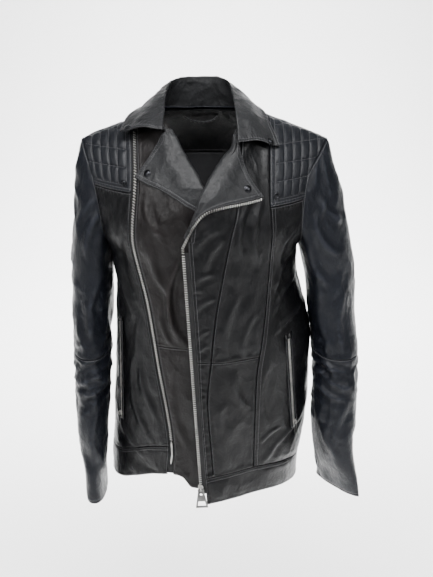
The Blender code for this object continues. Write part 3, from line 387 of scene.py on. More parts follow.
def back_neckline(x):
    return np.where(np.abs(x) > RIDGE[1], ridge(x), -0.006 + 0.009 * (x / RIDGE[1]) ** 2)


def rounded(x, z, inset, depth, section, rounding):
    """Distance of the front or back surface from the middle plane, falling to nothing at the ridge."""
    centre, half = sides(z)
    r = np.minimum(np.abs(x - centre) / (half - inset), 1.0)
    drop = 1.0 - np.clip((ridge(x) - inset - z) / rounding[0], 0.0, 1.0)
    fall = (1.0 - drop ** rounding[1]) ** (1.0 / rounding[1])
    return (depth(z) - inset) * (1.0 - r ** section) ** (1.0 / section) * fall


def front_y(x, z, inset=0.0, own_left=False):
    """Front surface; own_left is for the overlapping left front, which lies on top along the zip."""
    x, z = np.asarray(x, float), np.asarray(z, float)
    y = -rounded(x, z, inset, front_depth, FRONT_SECTION, FRONT_ROUNDING)
    line, deep = (left_roll(z), left_roll_depth(z)) if own_left else (underlap(z), right_roll_depth(z))
    near = smooth(1.0 - np.abs(x - line) / ROLL_REACH) * smooth((z - ROLL_END[0]) / ROLL_END[1])
    y = y + near * (deep + inset - y)
    if own_left:
        y = y - CLOSURE_STEP * smooth((0.10 - x) / 0.08) * smooth((-0.02 - z) / 0.12)
    return np.minimum(y, -RIDGE_GAP)


def left_front(x, z):
    return front_y(x, z, own_left=True)


def back_y(x, z, inset=0.0):
    return np.maximum(rounded(x, z, inset, back_depth, BACK_SECTION, BACK_ROUNDING), RIDGE_GAP)


def zip_edge_x(z):
    share = (z - ZIP_BOTTOM.z) / (ZIP_TOP.z - ZIP_BOTTOM.z)
    return ZIP_BOTTOM.x + (ZIP_TOP.x - ZIP_BOTTOM.x) * share


def left_edge(z):
    return np.where(z > LEFT_ROLL[0][0], left_roll(z), zip_edge_x(z) + 0.0095)


def under_sleeve(z):
    """How far a panel goes on under the sleeve beyond the armhole's line."""
    return 0.0045 * smooth((-0.066 - z) / 0.035)


def left_outer(z):
    return np.where(z > ARMPIT_Z, left_armhole(z) + under_sleeve(z), left_side(z))


def right_outer(z):
    return np.where(z > ARMPIT_Z, right_armhole(z) - under_sleeve(z), right_side(z))


def back_left_outer(z):
    return np.where(z > ARMPIT_Z, back_armhole(z) + under_sleeve(z), left_side(z))


def back_right_outer(z):
    return np.where(z > ARMPIT_Z, -back_armhole(z) - under_sleeve(z), right_side(z))


def beside(line, gap):
    return lambda z: line(z) + gap


def level(z):
    return lambda x: np.full_like(np.asarray(x, float), z)


# ---------------------------------------------------------------- noise and folds of the leather

def hash3(ix, iy, iz, seed):
    """Repeatable pseudo-random unit vectors for whole-number lattice points."""
    n = (ix * 374761393 + iy * 668265263 + iz * 2147483647 + seed * 1274126177) & 0xFFFFFFFF
    n = ((n ^ (n >> 13)) * 1274126177) & 0xFFFFFFFF
    m = ((n ^ (n >> 16)) * 2654435761) & 0xFFFFFFFF
    a = (n & 0xFFFF) / 65536.0 * 2.0 * np.pi
    c = ((m >> 8) & 0xFFFF) / 32768.0 - 1.0
    s = np.sqrt(np.maximum(1.0 - c * c, 0.0))
    return s * np.cos(a), s * np.sin(a), c


def noise(p, seed=0):
    """Gradient noise of points (..., 3), about -1 to 1."""
    base = np.floor(p).astype(np.int64)
    f = p - base
    u = f * f * f * (f * (f * 6.0 - 15.0) + 10.0)
    total = 0.0
    for dx in (0, 1):
        for dy in (0, 1):
            for dz in (0, 1):
                gx, gy, gz = hash3(base[..., 0] + dx, base[..., 1] + dy, base[..., 2] + dz, seed)
                dot = gx * (f[..., 0] - dx) + gy * (f[..., 1] - dy) + gz * (f[..., 2] - dz)
                wx = u[..., 0] if dx else 1.0 - u[..., 0]
                wy = u[..., 1] if dy else 1.0 - u[..., 1]
                wz = u[..., 2] if dz else 1.0 - u[..., 2]
                total = total + dot * wx * wy * wz
    return total * 1.6


def crumple(p, scale, seed, stretch=(1.0, 1.0, 1.0)):
    """Soft valleys with sharper crests, like creased leather, about -0.5 to 0.5."""
    q = p / scale / np.array(stretch)
    warp = np.stack([noise(q * 0.9, seed + 11), noise(q * 0.9, seed + 12), noise(q * 0.9, seed + 13)], -1)
    q = q + warp * 0.45
    return 0.5 - np.abs(noise(q, seed)) * 1.7 + 0.25 * noise(q * 2.3, seed + 5)


def crease(p, start, end, width, height):
    """A fold between two points (x, z) as seen from the front, dying away at its ends."""
    a, b = np.array(start), np.array(end)
    q = p[..., [0, 2]]
    d = b - a
    t = ((q - a) @ d) / (d @ d)
    across = (q[..., 0] - a[0]) * -d[1] + (q[..., 1] - a[1]) * d[0]
    across = across / np.linalg.norm(d) + 0.10 * np.linalg.norm(d) * np.sin(np.clip(t, 0, 1) * np.pi)
    body = np.exp(-(across / width) ** 2) - 0.55 * np.exp(-((across - width * 1.7) / (width * 1.2)) ** 2)
    return height * body * smooth((t + 0.15) / 0.4) * smooth((1.15 - t) / 0.4)


# Folds seen on the fronts: start and end (x, z), width and height.
FRONT_CREASES = (
    ((-0.152, -0.150), (-0.128, -0.345), 0.0075, 0.0030),
    ((-0.165, -0.175), (-0.150, -0.300), 0.0060, 0.0022),
    ((-0.112, -0.330), (-0.086, -0.560), 0.0055, 0.0022),
    ((-0.130, -0.420), (-0.104, -0.600), 0.0060, 0.0024),
    ((-0.170, -0.560), (-0.120, -0.640), 0.0060, 0.0020),
    ((-0.100, -0.130), (-0.072, -0.185), 0.0060, 0.0026),
    ((-0.092, -0.205), (-0.060, -0.290), 0.0070, 0.0022),
    ((-0.060, -0.250), (-0.038, -0.385), 0.0060, 0.0028),
    ((-0.040, -0.220), (-0.052, -0.370), 0.0050, 0.0024),
    ((-0.076, -0.300), (-0.056, -0.395), 0.0050, 0.0018),
    ((-0.055, -0.430), (-0.035, -0.600), 0.0070, 0.0020),
    ((0.020, -0.165), (-0.016, -0.205), 0.0060, 0.0022),
    ((0.030, -0.185), (0.002, -0.240), 0.0060, 0.0024), ((0.014, -0.245), (-0.018, -0.262), 0.0050, 0.0020),
    ((0.016, -0.290), (-0.020, -0.320), 0.0050, 0.0022),
    ((0.010, -0.350), (-0.018, -0.372), 0.0045, 0.0018),
    ((0.004, -0.380), (-0.014, -0.402), 0.0040, 0.0016), ((0.074, -0.130), (0.062, -0.215), 0.0055, 0.0024),
    ((0.096, -0.130), (0.092, -0.230), 0.0060, 0.0026), ((0.060, -0.290), (0.040, -0.400), 0.0070, 0.0018),
    ((0.088, -0.330), (0.070, -0.412), 0.0060, 0.0018), ((0.050, -0.440), (0.080, -0.520), 0.0070, 0.0020),
    ((0.030, -0.500), (0.052, -0.640), 0.0070, 0.0020), ((0.160, -0.180), (0.132, -0.255), 0.0065, 0.0032),
    ((0.166, -0.225), (0.126, -0.300), 0.0060, 0.0028), ((0.170, -0.290), (0.124, -0.335), 0.0055, 0.0024),
    ((0.184, -0.350), (0.128, -0.372), 0.0050, 0.0020), ((0.122, -0.420), (0.112, -0.560), 0.0065, 0.0022),
    ((0.180, -0.580), (0.110, -0.650), 0.0060, 0.0022), ((0.140, -0.575), (0.105, -0.600), 0.0045, 0.0018),
)


def front_folds(p):
    lump = 0.0042 * noise(p / np.array([0.070, 0.2, 0.12]), 3)
    mid = 0.0022 * crumple(p, 0.060, 21, (0.70, 1.0, 1.7)) * smooth(0.7 + 1.2 * noise(p / 0.09, 8))
    fine = 0.0006 * crumple(p, 0.020, 31, (0.8, 1.0, 1.4)) * smooth(0.5 + 1.3 * noise(p / 0.06, 9))
    placed = sum(crease(p, *fold) for fold in FRONT_CREASES)
    dents = 0.0011 * noise(p / np.array([0.024, 0.05, 0.034]), 33)
    return lump + mid + fine + dents + 1.35 * placed


def back_folds(p):
    lump = 0.0034 * noise(p / np.array([0.10, 0.2, 0.12]), 43)
    mid = 0.0042 * crumple(p, 0.062, 51, (1.3, 1.0, 0.9)) * smooth(0.6 + 1.2 * noise(p / 0.10, 48))
    fine = 0.0010 * crumple(p, 0.018, 61) * smooth(0.4 + 1.3 * noise(p / 0.06, 49))
    return lump + mid + fine


# ---------------------------------------------------------------- meshes

def grid_normals(p, cyclic=False):
    """Normals of a grid of points, rows running down and columns across."""
    if cyclic:
        across = np.roll(p, -1, 1) - np.roll(p, 1, 1)
    else:
        across = np.gradient(p, axis=1)
    return unit(np.cross(np.gradient(p, axis=0), across))


def shell(name, outer, normals, thickness, cyclic=False, wear=None, flip=False):
    """A closed wall on a grid of outer points, growing inwards against the normals."""
    inner = outer - normals * thickness
    rows, cols = outer.shape[:2]
    points = np.concatenate([outer.reshape(-1, 3), inner.reshape(-1, 3)])
    half = rows * cols
    ring = cols if cyclic else cols - 1
    i = np.arange(rows - 1)[:, None] * cols
    j = np.arange(ring)[None, :]
    k = (j + 1) % cols
    a, b, c, d = (i + j).ravel(), (i + cols + j).ravel(), (i + cols + k).ravel(), (i + k).ravel()
    faces = [np.stack([a, b, c, d], 1), np.stack([d, c, b, a], 1) + half]
    top, low = np.arange(ring), (rows - 1) * cols + np.arange(ring)
    top_next, low_next = (top + 1) % cols, (rows - 1) * cols + (np.arange(ring) + 1) % cols
    faces.append(np.stack([top, top_next, top_next + half, top + half], 1))
    faces.append(np.stack([low_next, low, low + half, low_next + half], 1))
    if not cyclic:
        left = np.arange(rows - 1) * cols
        right = left + cols - 1
        faces.append(np.stack([left + cols, left, left + half, left + cols + half], 1))
        faces.append(np.stack([right, right + cols, right + cols + half, right + half], 1))
    faces = np.concatenate(faces)
    if flip:
        faces = faces[:, ::-1]
    obj = mesh_object(name, points, faces)
    if wear is not None:
        values = np.concatenate([wear.ravel(), np.zeros(half)]).astype(np.float32)
        layer = obj.data.attributes.new("wear", "FLOAT", "POINT")
        layer.data.foreach_set("value", values)
    return obj


def mesh_object(name, points, faces):
    """Smooth-shaded mesh of points and faces; faces is a list, or an array of quads."""
    mesh = bpy.data.meshes.new(name)
    mesh.from_pydata(np.asarray(points).tolist(), [], faces if isinstance(faces, list) else faces.tolist())
    mesh.update()
    mesh.polygons.foreach_set("use_smooth", [True] * len(mesh.polygons))
    obj = bpy.data.objects.new(name, mesh)
    scene.collection.objects.link(obj)
    return obj


def paint(obj, mat, slot):
    obj.data.materials.clear()
    obj.data.materials.append(mat)
    return obj


def spread(widths, step):
    """Share of the way across for every grid line, with lines at even distances from both edges."""
    inner_from = EDGE_LINES[-1]
    count = max(int((widths.max() - 2 * inner_from) / step), 2)
    middle = np.linspace(0.0, 1.0, count + 1)[1:-1]
    out = []
    for w in widths:
        scale = min(1.0, w * 0.46 / inner_from)
        near = np.array(EDGE_LINES) * scale
        gap = w - 2 * near[-1]
        out.append(np.concatenate([near, near[-1] + gap * middle, (w - near)[::-1]]) / w)
    return np.array(out)


def edge_profile(d, kind):
    """Height of the leather at distance d from an edge: rolled under at a seam or at a free, folded edge."""
    if kind == "none":
        return 0.0 * d
    if kind == "free":
        return -0.0010 * np.exp(-(d / 0.0007) ** 2)
    return -0.0008 * np.exp(-(d / 0.0010) ** 2)


def stitch_profile(d, at):
    """Groove that a row of stitches pulls into the leather."""
    return -0.00045 * np.exp(-((d - at) / 0.0007) ** 2)


class Panel:
    """A leather piece as a grid of points, with distances to its four edges. place(s, t) gives its points."""

    def __init__(self, place, outward, step=STEP):
        share = np.linspace(0.0, 1.0, 25)
        s, t = np.meshgrid(share, share, indexing="ij")
        rough = place(s, t)
        widths, heights = travelled(rough, 1)[:, -1], travelled(rough)[-1]
        n_rows = spread(np.array([heights.max()]), step).shape[1]
        n_cols = spread(np.array([widths.max()]), step).shape[1]
        row_w = np.interp(np.linspace(0, 1, n_rows), share, widths)
        col_h = np.interp(np.linspace(0, 1, n_cols), share, heights)
        t = spread(np.append(row_w, widths.max()), step)[:-1]
        s = spread(np.append(col_h, heights.max()), step)[:-1].T
        self.outward = np.array(outward, float)
        self.measure(place(s, t))

    def measure(self, flat):
        self.flat = self.points = flat
        self.d_in = travelled(flat, 1)
        self.d_out = self.d_in[:, -1:] - self.d_in
        self.d_top = travelled(flat)
        self.d_bottom = self.d_top[-1:] - self.d_top
        self.normals = grid_normals(flat)
        self.flipped = float((self.normals[:, -8:] * self.outward).sum()) < 0
        if self.flipped:
            self.normals = -self.normals

    def distance(self, edge):
        return getattr(self, "d_" + edge)

    def line(self, edge, index):
        """Points and normals along the grid line at one of the set distances from an edge."""
        pick = {"in": (slice(2, -2), index), "out": (slice(2, -2), -1 - index),
                "top": (index, slice(2, -2)), "bottom": (-1 - index, slice(2, -2))}[edge]
        return self.points[pick], self.normals[pick]

    def nearest(self, x, z):
        """Point and normal of the finished surface nearest to x, z as seen from the front."""
        gap = (self.points[..., 0] - x) ** 2 + (self.points[..., 2] - z) ** 2
        k = np.unravel_index(np.argmin(gap), gap.shape)
        return Vector(self.points[k]), Vector(self.normals[k])


def between(x_in, x_out, z_top, z_bottom, depth):
    """Placing function of a body panel between two seams and two edges."""
    def place(s, t):
        z = np.full_like(s, float(z_top(0.0) + z_bottom(0.0)) / 2.0)
        x = np.zeros_like(s)
        for _ in range(40):
            centre, half = sides(z)
            start = np.arcsin(np.clip((x_in(z) - centre) / half, -1.0, 1.0))
            end = np.arcsin(np.clip((x_out(z) - centre) / half, -1.0, 1.0))
            x = centre + half * np.sin(start + (end - start) * t)
            z = z_top(x) + (z_bottom(x) - z_top(x)) * s
        return np.stack([x, depth(x, z), z], -1)
    return place


# Views of a panel's grid with the rows counted from one of its edges.
ROWS_AT = {"in": lambda g: g.swapaxes(0, 1), "out": lambda g: g.swapaxes(0, 1)[::-1], "top": lambda g: g,
           "bottom": lambda g: g[::-1]}


def turn_under(points, normals, edge):
    """Folds the rows of grid at an edge down behind it."""
    rows = ROWS_AT[edge](points)
    up = ROWS_AT[edge](normals)[3]
    away = unit(rows[0] - rows[3])
    rows[2] = rows[2] * 0.25 + rows[0] * 0.75
    rows[1] = rows[0] - away * 0.0005 - up * 0.0007
    rows[0] = rows[1] + away * ALLOWANCE_REACH - up * ALLOWANCE_DEPTH


def build_panel(name, panel, edges, folds, mat, slot, thickness=LEATHER, extra=None, calm=0.016,
                body="jacket_body", ripple=BODY_RIPPLE):
    """Displaces, closes and paints a panel; edges give the kind and the stitch lines of each side."""
    p = panel.flat
    height = folds(p) if folds else np.zeros(p.shape[:2])
    hold = np.ones(p.shape[:2])
    relief = np.zeros(p.shape[:2])
    for edge, (kind, rows) in edges.items():
        d = panel.distance(edge)
        hold = hold * (0.25 + 0.75 * smooth(d / calm))
        relief = relief + edge_profile(d, kind)
        if kind != "none":
            relief = relief + 0.00055 * noise(p / 0.0075, 71) * np.exp(-((d - 0.006) / 0.007) ** 2)
            relief = relief + 0.00035 * np.exp(-((d - 0.0045) / 0.0022) ** 2)
        for index in rows:
            relief = relief + stitch_profile(d, EDGE_LINES[index])
        if rows:
            run = panel.d_top if edge in ("in", "out") else panel.d_in
            beat = np.sin(2.0 * np.pi * run / ripple + 2.5 * noise(p / 0.02, 72))
            relief = relief + 0.00042 * beat * np.exp(-((d - 0.0048) / 0.0036) ** 2)
    height = height * hold
    if extra is not None:
        relief = relief + extra(panel)
    total = height + relief
    panel.points = p + panel.normals * total[..., None]
    for edge, (kind, rows) in edges.items():
        if kind == "seam":
            turn_under(panel.points, panel.normals, edge)
    normals = grid_normals(panel.points)
    if (normals * panel.normals).sum() < 0:
        normals = -normals
    panel.normals = normals
    crest = total - blur(total, 3)
    wear = np.clip(0.30 + crest / 0.0009, 0.0, 1.0)
    obj = shell(name, panel.points, normals, thickness, wear=wear, flip=not panel.flipped)
    paint(obj, mat, slot)
    for edge, (kind, rows) in edges.items():
        for index in rows:
            sew(body, *panel.line(edge, index))
    return obj


def blur(values, times):
    for _ in range(times):
        padded = np.pad(values, 1, mode="edge")
        beside_it = padded[:-2, 1:-1] + padded[2:, 1:-1] + padded[1:-1, :-2] + padded[1:-1, 2:]
        values = (beside_it + 4 * values) / 8.0
    return values


# ---------------------------------------------------------------- small repeated things

def template(points, bevel=0.0, segments=2):
    """Vertices and faces of a bevelled convex block, to be stamped many times."""
    solid = bmesh.new()
    for point in points:
        solid.verts.new(point)
    bmesh.ops.convex_hull(solid, input=solid.verts)
    bmesh.ops.dissolve_limit(solid, angle_limit=0.02, verts=solid.verts, edges=solid.edges)
    if bevel:
        bmesh.ops.bevel(solid, geom=list(solid.edges), offset=bevel, segments=segments, profile=0.6,
                        affect="EDGES")
    bmesh.ops.recalc_face_normals(solid, faces=solid.faces)
    solid.verts.index_update()
    out = np.array([v.co[:] for v in solid.verts]), [[v.index for v in f.verts] for f in solid.faces]
    solid.free()
    return out


def stamp(name, shape, places, mat, slot, body):
    """One mesh with a copy of the shape at every place, each a 4 x 4 array."""
    verts, faces = shape
    homogeneous = np.concatenate([verts, np.ones((len(verts), 1))], 1)
    points = np.concatenate([(homogeneous @ place.T)[:, :3] for place in places])
    all_faces = [[i + n * len(verts) for i in face] for n in range(len(places)) for face in faces]
    obj = mesh_object(name, points, all_faces)
    paint(obj, mat, slot)
    if body:
        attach(obj, body)
    return obj


def box_points(x, y, z, centre=(0.0, 0.0, 0.0)):
    return [(centre[0] + sx * x / 2, centre[1] + sy * y / 2, centre[2] + sz * z / 2)
            for sx in (-1, 1) for sy in (-1, 1) for sz in (-1, 1)]


def resample(points, normals, pitch, start=0.0):
    """Places at an even pitch along a path: positions, directions and normals."""
    points, normals = np.asarray(points, float), np.asarray(normals, float)
    along = travelled(points)
    count = int((along[-1] - start) / pitch)
    marks = start + pitch * (np.arange(count) + 0.5)

    def taken(values, where):
        return np.stack([np.interp(where, along, values[:, k]) for k in range(3)], 1)
    up = taken(normals, marks)
    direction = unit(taken(points, marks + pitch / 4) - taken(points, marks - pitch / 4))
    up = unit(up - direction * (up * direction).sum(1, keepdims=True))
    return taken(points, marks), direction, up


def places_along(points, normals, pitch, sink=0.0, turn=0.0, start=0.0):
    """4 x 4 arrays with local Y along the path and local Z out of the surface."""
    out = []
    for at, along, up in zip(*resample(points, normals, pitch, start)):
        across = np.cross(along, up)
        if turn:
            along, across = (along * math.cos(turn) + across * math.sin(turn),
                             across * math.cos(turn) - along * math.sin(turn))
        place = np.eye(4)
        place[:3, 0], place[:3, 1], place[:3, 2], place[:3, 3] = across, along, up, at - up * sink
        out.append(place)
    return out


def sew(group, points, normals):
    places = places_along(points, normals, STITCH_PITCH, sink=STITCH_SINK, turn=STITCH_TURN)
    seams.setdefault(group, []).extend(places)


# ---------------------------------------------------------------- materials

class Nodes:
    """Short way to write a material's node tree."""

    def __init__(self, name):
        self.mat = bpy.data.materials.new(name)
        self.mat.use_nodes = True
        self.tree = self.mat.node_tree
        self.shader = self.tree.nodes["Principled BSDF"]

    def add(self, kind, settings=(), **inputs):
        node = self.tree.nodes.new(kind)
        for key, value in dict(settings).items():
            setattr(node, key, value)
        for key, value in inputs.items():
            self.feed(node.inputs[key.replace("_", " ")], value)
        return node

    def feed(self, socket, value):
        if isinstance(value, bpy.types.NodeSocket):
            self.tree.links.new(value, socket)
        else:
            socket.default_value = value

    def ramp(self, source, stops):
        node = self.tree.nodes.new("ShaderNodeValToRGB")
        self.feed(node.inputs["Fac"], source)
        elements = node.color_ramp.elements
        for _ in range(len(stops) - 2):
            elements.new(0.5)
        for element, (at, value) in zip(elements, stops):
            element.position = at
            element.color = value if isinstance(value, tuple) else (value, value, value, 1.0)
        return node.outputs["Color"]

    def mix(self, fac, a, b, mode="MIX"):
        node = self.tree.nodes.new("ShaderNodeMix")
        node.data_type = "RGBA"
        node.blend_type = mode
        self.feed(node.inputs[0], fac)
        self.feed(node.inputs[6], a)
        self.feed(node.inputs[7], b)
        return node.outputs[2]

    def bump(self, height, distance, strength, normal=None):
        node = self.add("ShaderNodeBump", Height=height, Distance=distance, Strength=strength)
        if normal is not None:
            self.feed(node.inputs["Normal"], normal)
        return node.outputs["Normal"]

    def noise(self, at, scale, detail, **inputs):
        return self.add("ShaderNodeTexNoise", Vector=at, Scale=scale, Detail=detail, **inputs).outputs["Fac"]

    def bands(self, way, **inputs):
        settings = {"wave_type": "BANDS", "bands_direction": way}
        return self.add("ShaderNodeTexWave", settings, **inputs).outputs["Color"]

    def where(self):
        return self.add("ShaderNodeTexCoord").outputs["Object"]


def leather(name, dark, light, rough=(0.30, 0.46), grain=1.0, wrinkle=1.0, drape=(1.0, 1.0, 0.6)):
    """Dyed leather: pebbled grain, soft wrinkles, patchy gloss, and paler where it is rubbed."""
    n = Nodes(name)
    at = n.where()
    pebble = n.add("ShaderNodeTexVoronoi", {"feature": "DISTANCE_TO_EDGE"}, Vector=at, Scale=620.0)
    pebble = n.ramp(pebble.outputs["Distance"], ((0.0, 0.0), (0.30, 1.0)))
    lines = n.noise(at, 150.0, 6.0, Roughness=0.62, Distortion=0.6)
    veins = n.ramp(lines, ((0.42, 1.0), (0.50, 0.25), (0.58, 1.0)))
    patch = n.noise(at, 11.0, 4.0, Roughness=0.55)
    along = n.add("ShaderNodeMapping", {}, Vector=at, Scale=drape).outputs["Vector"]
    soft = n.noise(along, 38.0, 2.0, Roughness=0.45, Distortion=0.3)
    soft = n.ramp(soft, ((0.36, 0.0), (0.50, 1.0), (0.64, 0.0)))
    sharp = n.noise(along, 105.0, 3.0, Roughness=0.5, Distortion=0.3)
    sharp = n.ramp(sharp, ((0.40, 0.0), (0.50, 1.0), (0.60, 0.0)))
    rubbed = n.add("ShaderNodeAttribute", {"attribute_name": "wear"}).outputs["Fac"]
    tone = n.mix(n.ramp(patch, ((0.32, 0.0), (0.72, 1.0))), dark, light)
    pale = tuple(min(c * 2.2 + 0.010, 1.0) for c in light[:3]) + (1.0,)
    tone = n.mix(n.ramp(rubbed, ((0.35, 0.0), (1.0, 0.6))), tone, pale)
    deep = (dark[0] * 0.4, dark[1] * 0.4, dark[2] * 0.4, 1.0)
    tone = n.mix(n.ramp(pebble, ((0.0, 0.55), (1.0, 0.0))), tone, deep)
    n.feed(n.shader.inputs["Base Color"], tone)
    n.feed(n.shader.inputs["Roughness"], n.ramp(lines, ((0.35, rough[0]), (0.70, rough[1]))))
    n.shader.inputs["Specular IOR Level"].default_value = 0.36
    first = n.bump(pebble, 0.00016 * grain, 0.55)
    second = n.bump(veins, 0.00024 * grain, 0.5, first)
    third = n.bump(sharp, 0.00018 * wrinkle, 0.7, second)
    n.feed(n.shader.inputs["Normal"], n.bump(soft, 0.0006 * wrinkle, 0.8, third))
    return n.mat


def cloth(name, colour, scale=900.0):
    """Fine plain weave: two sets of crossed threads."""
    n = Nodes(name)
    at = n.where()
    warp, weft = (n.bands(way, Vector=at, Scale=scale / 6.0, Distortion=0.4) for way in ("X", "Z"))
    both = n.mix(0.5, warp, weft)
    fuzz = n.noise(at, 60.0, 5.0)
    lighter = tuple(c * 2.2 for c in colour[:3]) + (1.0,)
    n.feed(n.shader.inputs["Base Color"], n.mix(both, colour, lighter))
    n.feed(n.shader.inputs["Roughness"], n.ramp(fuzz, ((0.3, 0.70), (0.7, 0.92))))
    n.shader.inputs["Sheen Weight"].default_value = 0.25
    n.feed(n.shader.inputs["Normal"], n.bump(both, 0.00020, 0.6))
    return n.mat


def metal(name, colour, rough, scuff=0.10):
    """Plated metal with fine brushing, small scuffs and slightly dulled patches."""
    n = Nodes(name)
    at = n.where()
    scratch = n.noise(at, 420.0, 8.0, Roughness=0.7)
    dull = n.noise(at, 70.0, 3.0)
    darker = tuple(c * 0.55 for c in colour[:3]) + (1.0,)
    n.feed(n.shader.inputs["Base Color"], n.mix(n.ramp(dull, ((0.35, 0.7), (0.6, 0.0))), colour, darker))
    n.shader.inputs["Metallic"].default_value = 1.0
    n.feed(n.shader.inputs["Roughness"], n.ramp(scratch, ((0.3, rough), (0.75, rough + scuff))))
    n.feed(n.shader.inputs["Normal"], n.bump(scratch, 0.00005, 0.4))
    return n.mat


def thread(name, colour):
    """Twisted sewing thread."""
    n = Nodes(name)
    twist = n.bands("DIAGONAL", Vector=n.where(), Scale=700.0)
    lighter = tuple(c * 2.0 for c in colour[:3]) + (1.0,)
    n.feed(n.shader.inputs["Base Color"], n.mix(twist, colour, lighter))
    n.shader.inputs["Roughness"].default_value = 0.6
    n.feed(n.shader.inputs["Normal"], n.bump(twist, 0.0001, 0.5))
    return n.mat


BODY_LEATHER = leather("body_leather", (0.0045, 0.0047, 0.0058, 1), (0.0110, 0.0113, 0.0130, 1))
# Darker copy of the body leather: painted shade on the lower panels, where less of the light from above
# falls.
SHADED_LOWER_LEATHER = leather("lower_leather", (0.0025, 0.0026, 0.0034, 1), (0.0058, 0.0060, 0.0074, 1))
# Lighter, brownish copy of the body leather: painted brownish highlight on the right front's inner panels.
LIT_INNER_LEATHER = leather("inner_leather", (0.0090, 0.0073, 0.0073, 1), (0.0200, 0.0165, 0.0168, 1))
# Much lighter copy of the leather: painted highlight on the lapels and collar, which face up to the top
# light.
LIT_LAPEL_LEATHER = leather("lapel_leather", (0.0240, 0.0248, 0.0270, 1), (0.0500, 0.0510, 0.0540, 1),
                        (0.32, 0.48), 1.25, 0.8, (1.0, 1.0, 1.0))
# Lighter, bluish copy of the leather: painted bluish light on the sleeves, the back yoke and the cuff welts.
LIT_SLEEVE_LEATHER = leather("sleeve_leather", (0.0072, 0.0088, 0.0140, 1), (0.0165, 0.0190, 0.0270, 1),
                         (0.33, 0.50))
# Lighter, bluish copy of the leather: painted light on the quilted shoulder yokes.
LIT_QUILT_LEATHER = leather("quilt_leather", (0.0095, 0.0110, 0.0155, 1), (0.0220, 0.0240, 0.0300, 1),
                        (0.32, 0.48), 1.0, 0.6)
LINING_CLOTH = cloth("lining_cloth", (0.010, 0.010, 0.012, 1))
TAPE_CLOTH = cloth("tape_cloth", (0.0035, 0.0035, 0.004, 1), 1500.0)
NICKEL = metal("nickel_metal", (0.78, 0.77, 0.74, 1), 0.26)
# Darker copy of the nickel: painted shade on the pullers, dimming the top light's reflection in their flat
# faces.
SHADED_PULLER_METAL = metal("puller_metal", (0.24, 0.24, 0.235, 1), 0.36)
GUNMETAL = metal("gunmetal", (0.055, 0.056, 0.062, 1), 0.26)
THREAD = thread("sewing_thread", (0.085, 0.085, 0.090, 1))


# ---------------------------------------------------------------- body panels

def edges(inner, outer, top, bottom):
    return {"in": inner, "out": outer, "top": top, "bottom": bottom}


PLAIN = ("seam", ())
SEWN = ("seam", (NEAR_STITCH,))
TWICE = ("seam", (NEAR_STITCH, FAR_STITCH))
FOLDED = ("free", (NEAR_STITCH,))
FOLDED_TWICE = ("free", (NEAR_STITCH, FAR_STITCH))


def quilting(cell_w, cell_h, edge, z_from):
    """Relief of puffed squares between rows of stitches, with a flat sewn border along two edges."""
    def extra(panel):
        d = panel.distance(edge)
        u = (d - QUILT_BORDER) / cell_w
        v = (panel.flat[..., 2] - z_from - QUILT_BORDER) / cell_h
        fu, fv = np.abs(2 * (u - np.floor(u)) - 1), np.abs(2 * (v - np.floor(v)) - 1)
        puff = (1 - fu ** 3.0) * (1 - fv ** 3.4)
        wrinkle = noise(panel.flat / np.array([0.0042, 0.01, 0.012]), 91) * (fv ** 2) * 0.0010
        inside = (d > QUILT_BORDER) & (panel.flat[..., 2] > z_from + QUILT_BORDER)
        height = QUILT_PUFF * np.sqrt(np.clip(puff, 0, 1)) - QUILT_SINK + wrinkle * (1 - fu ** 4)
        return np.where(inside, height, 0.0)
    return extra


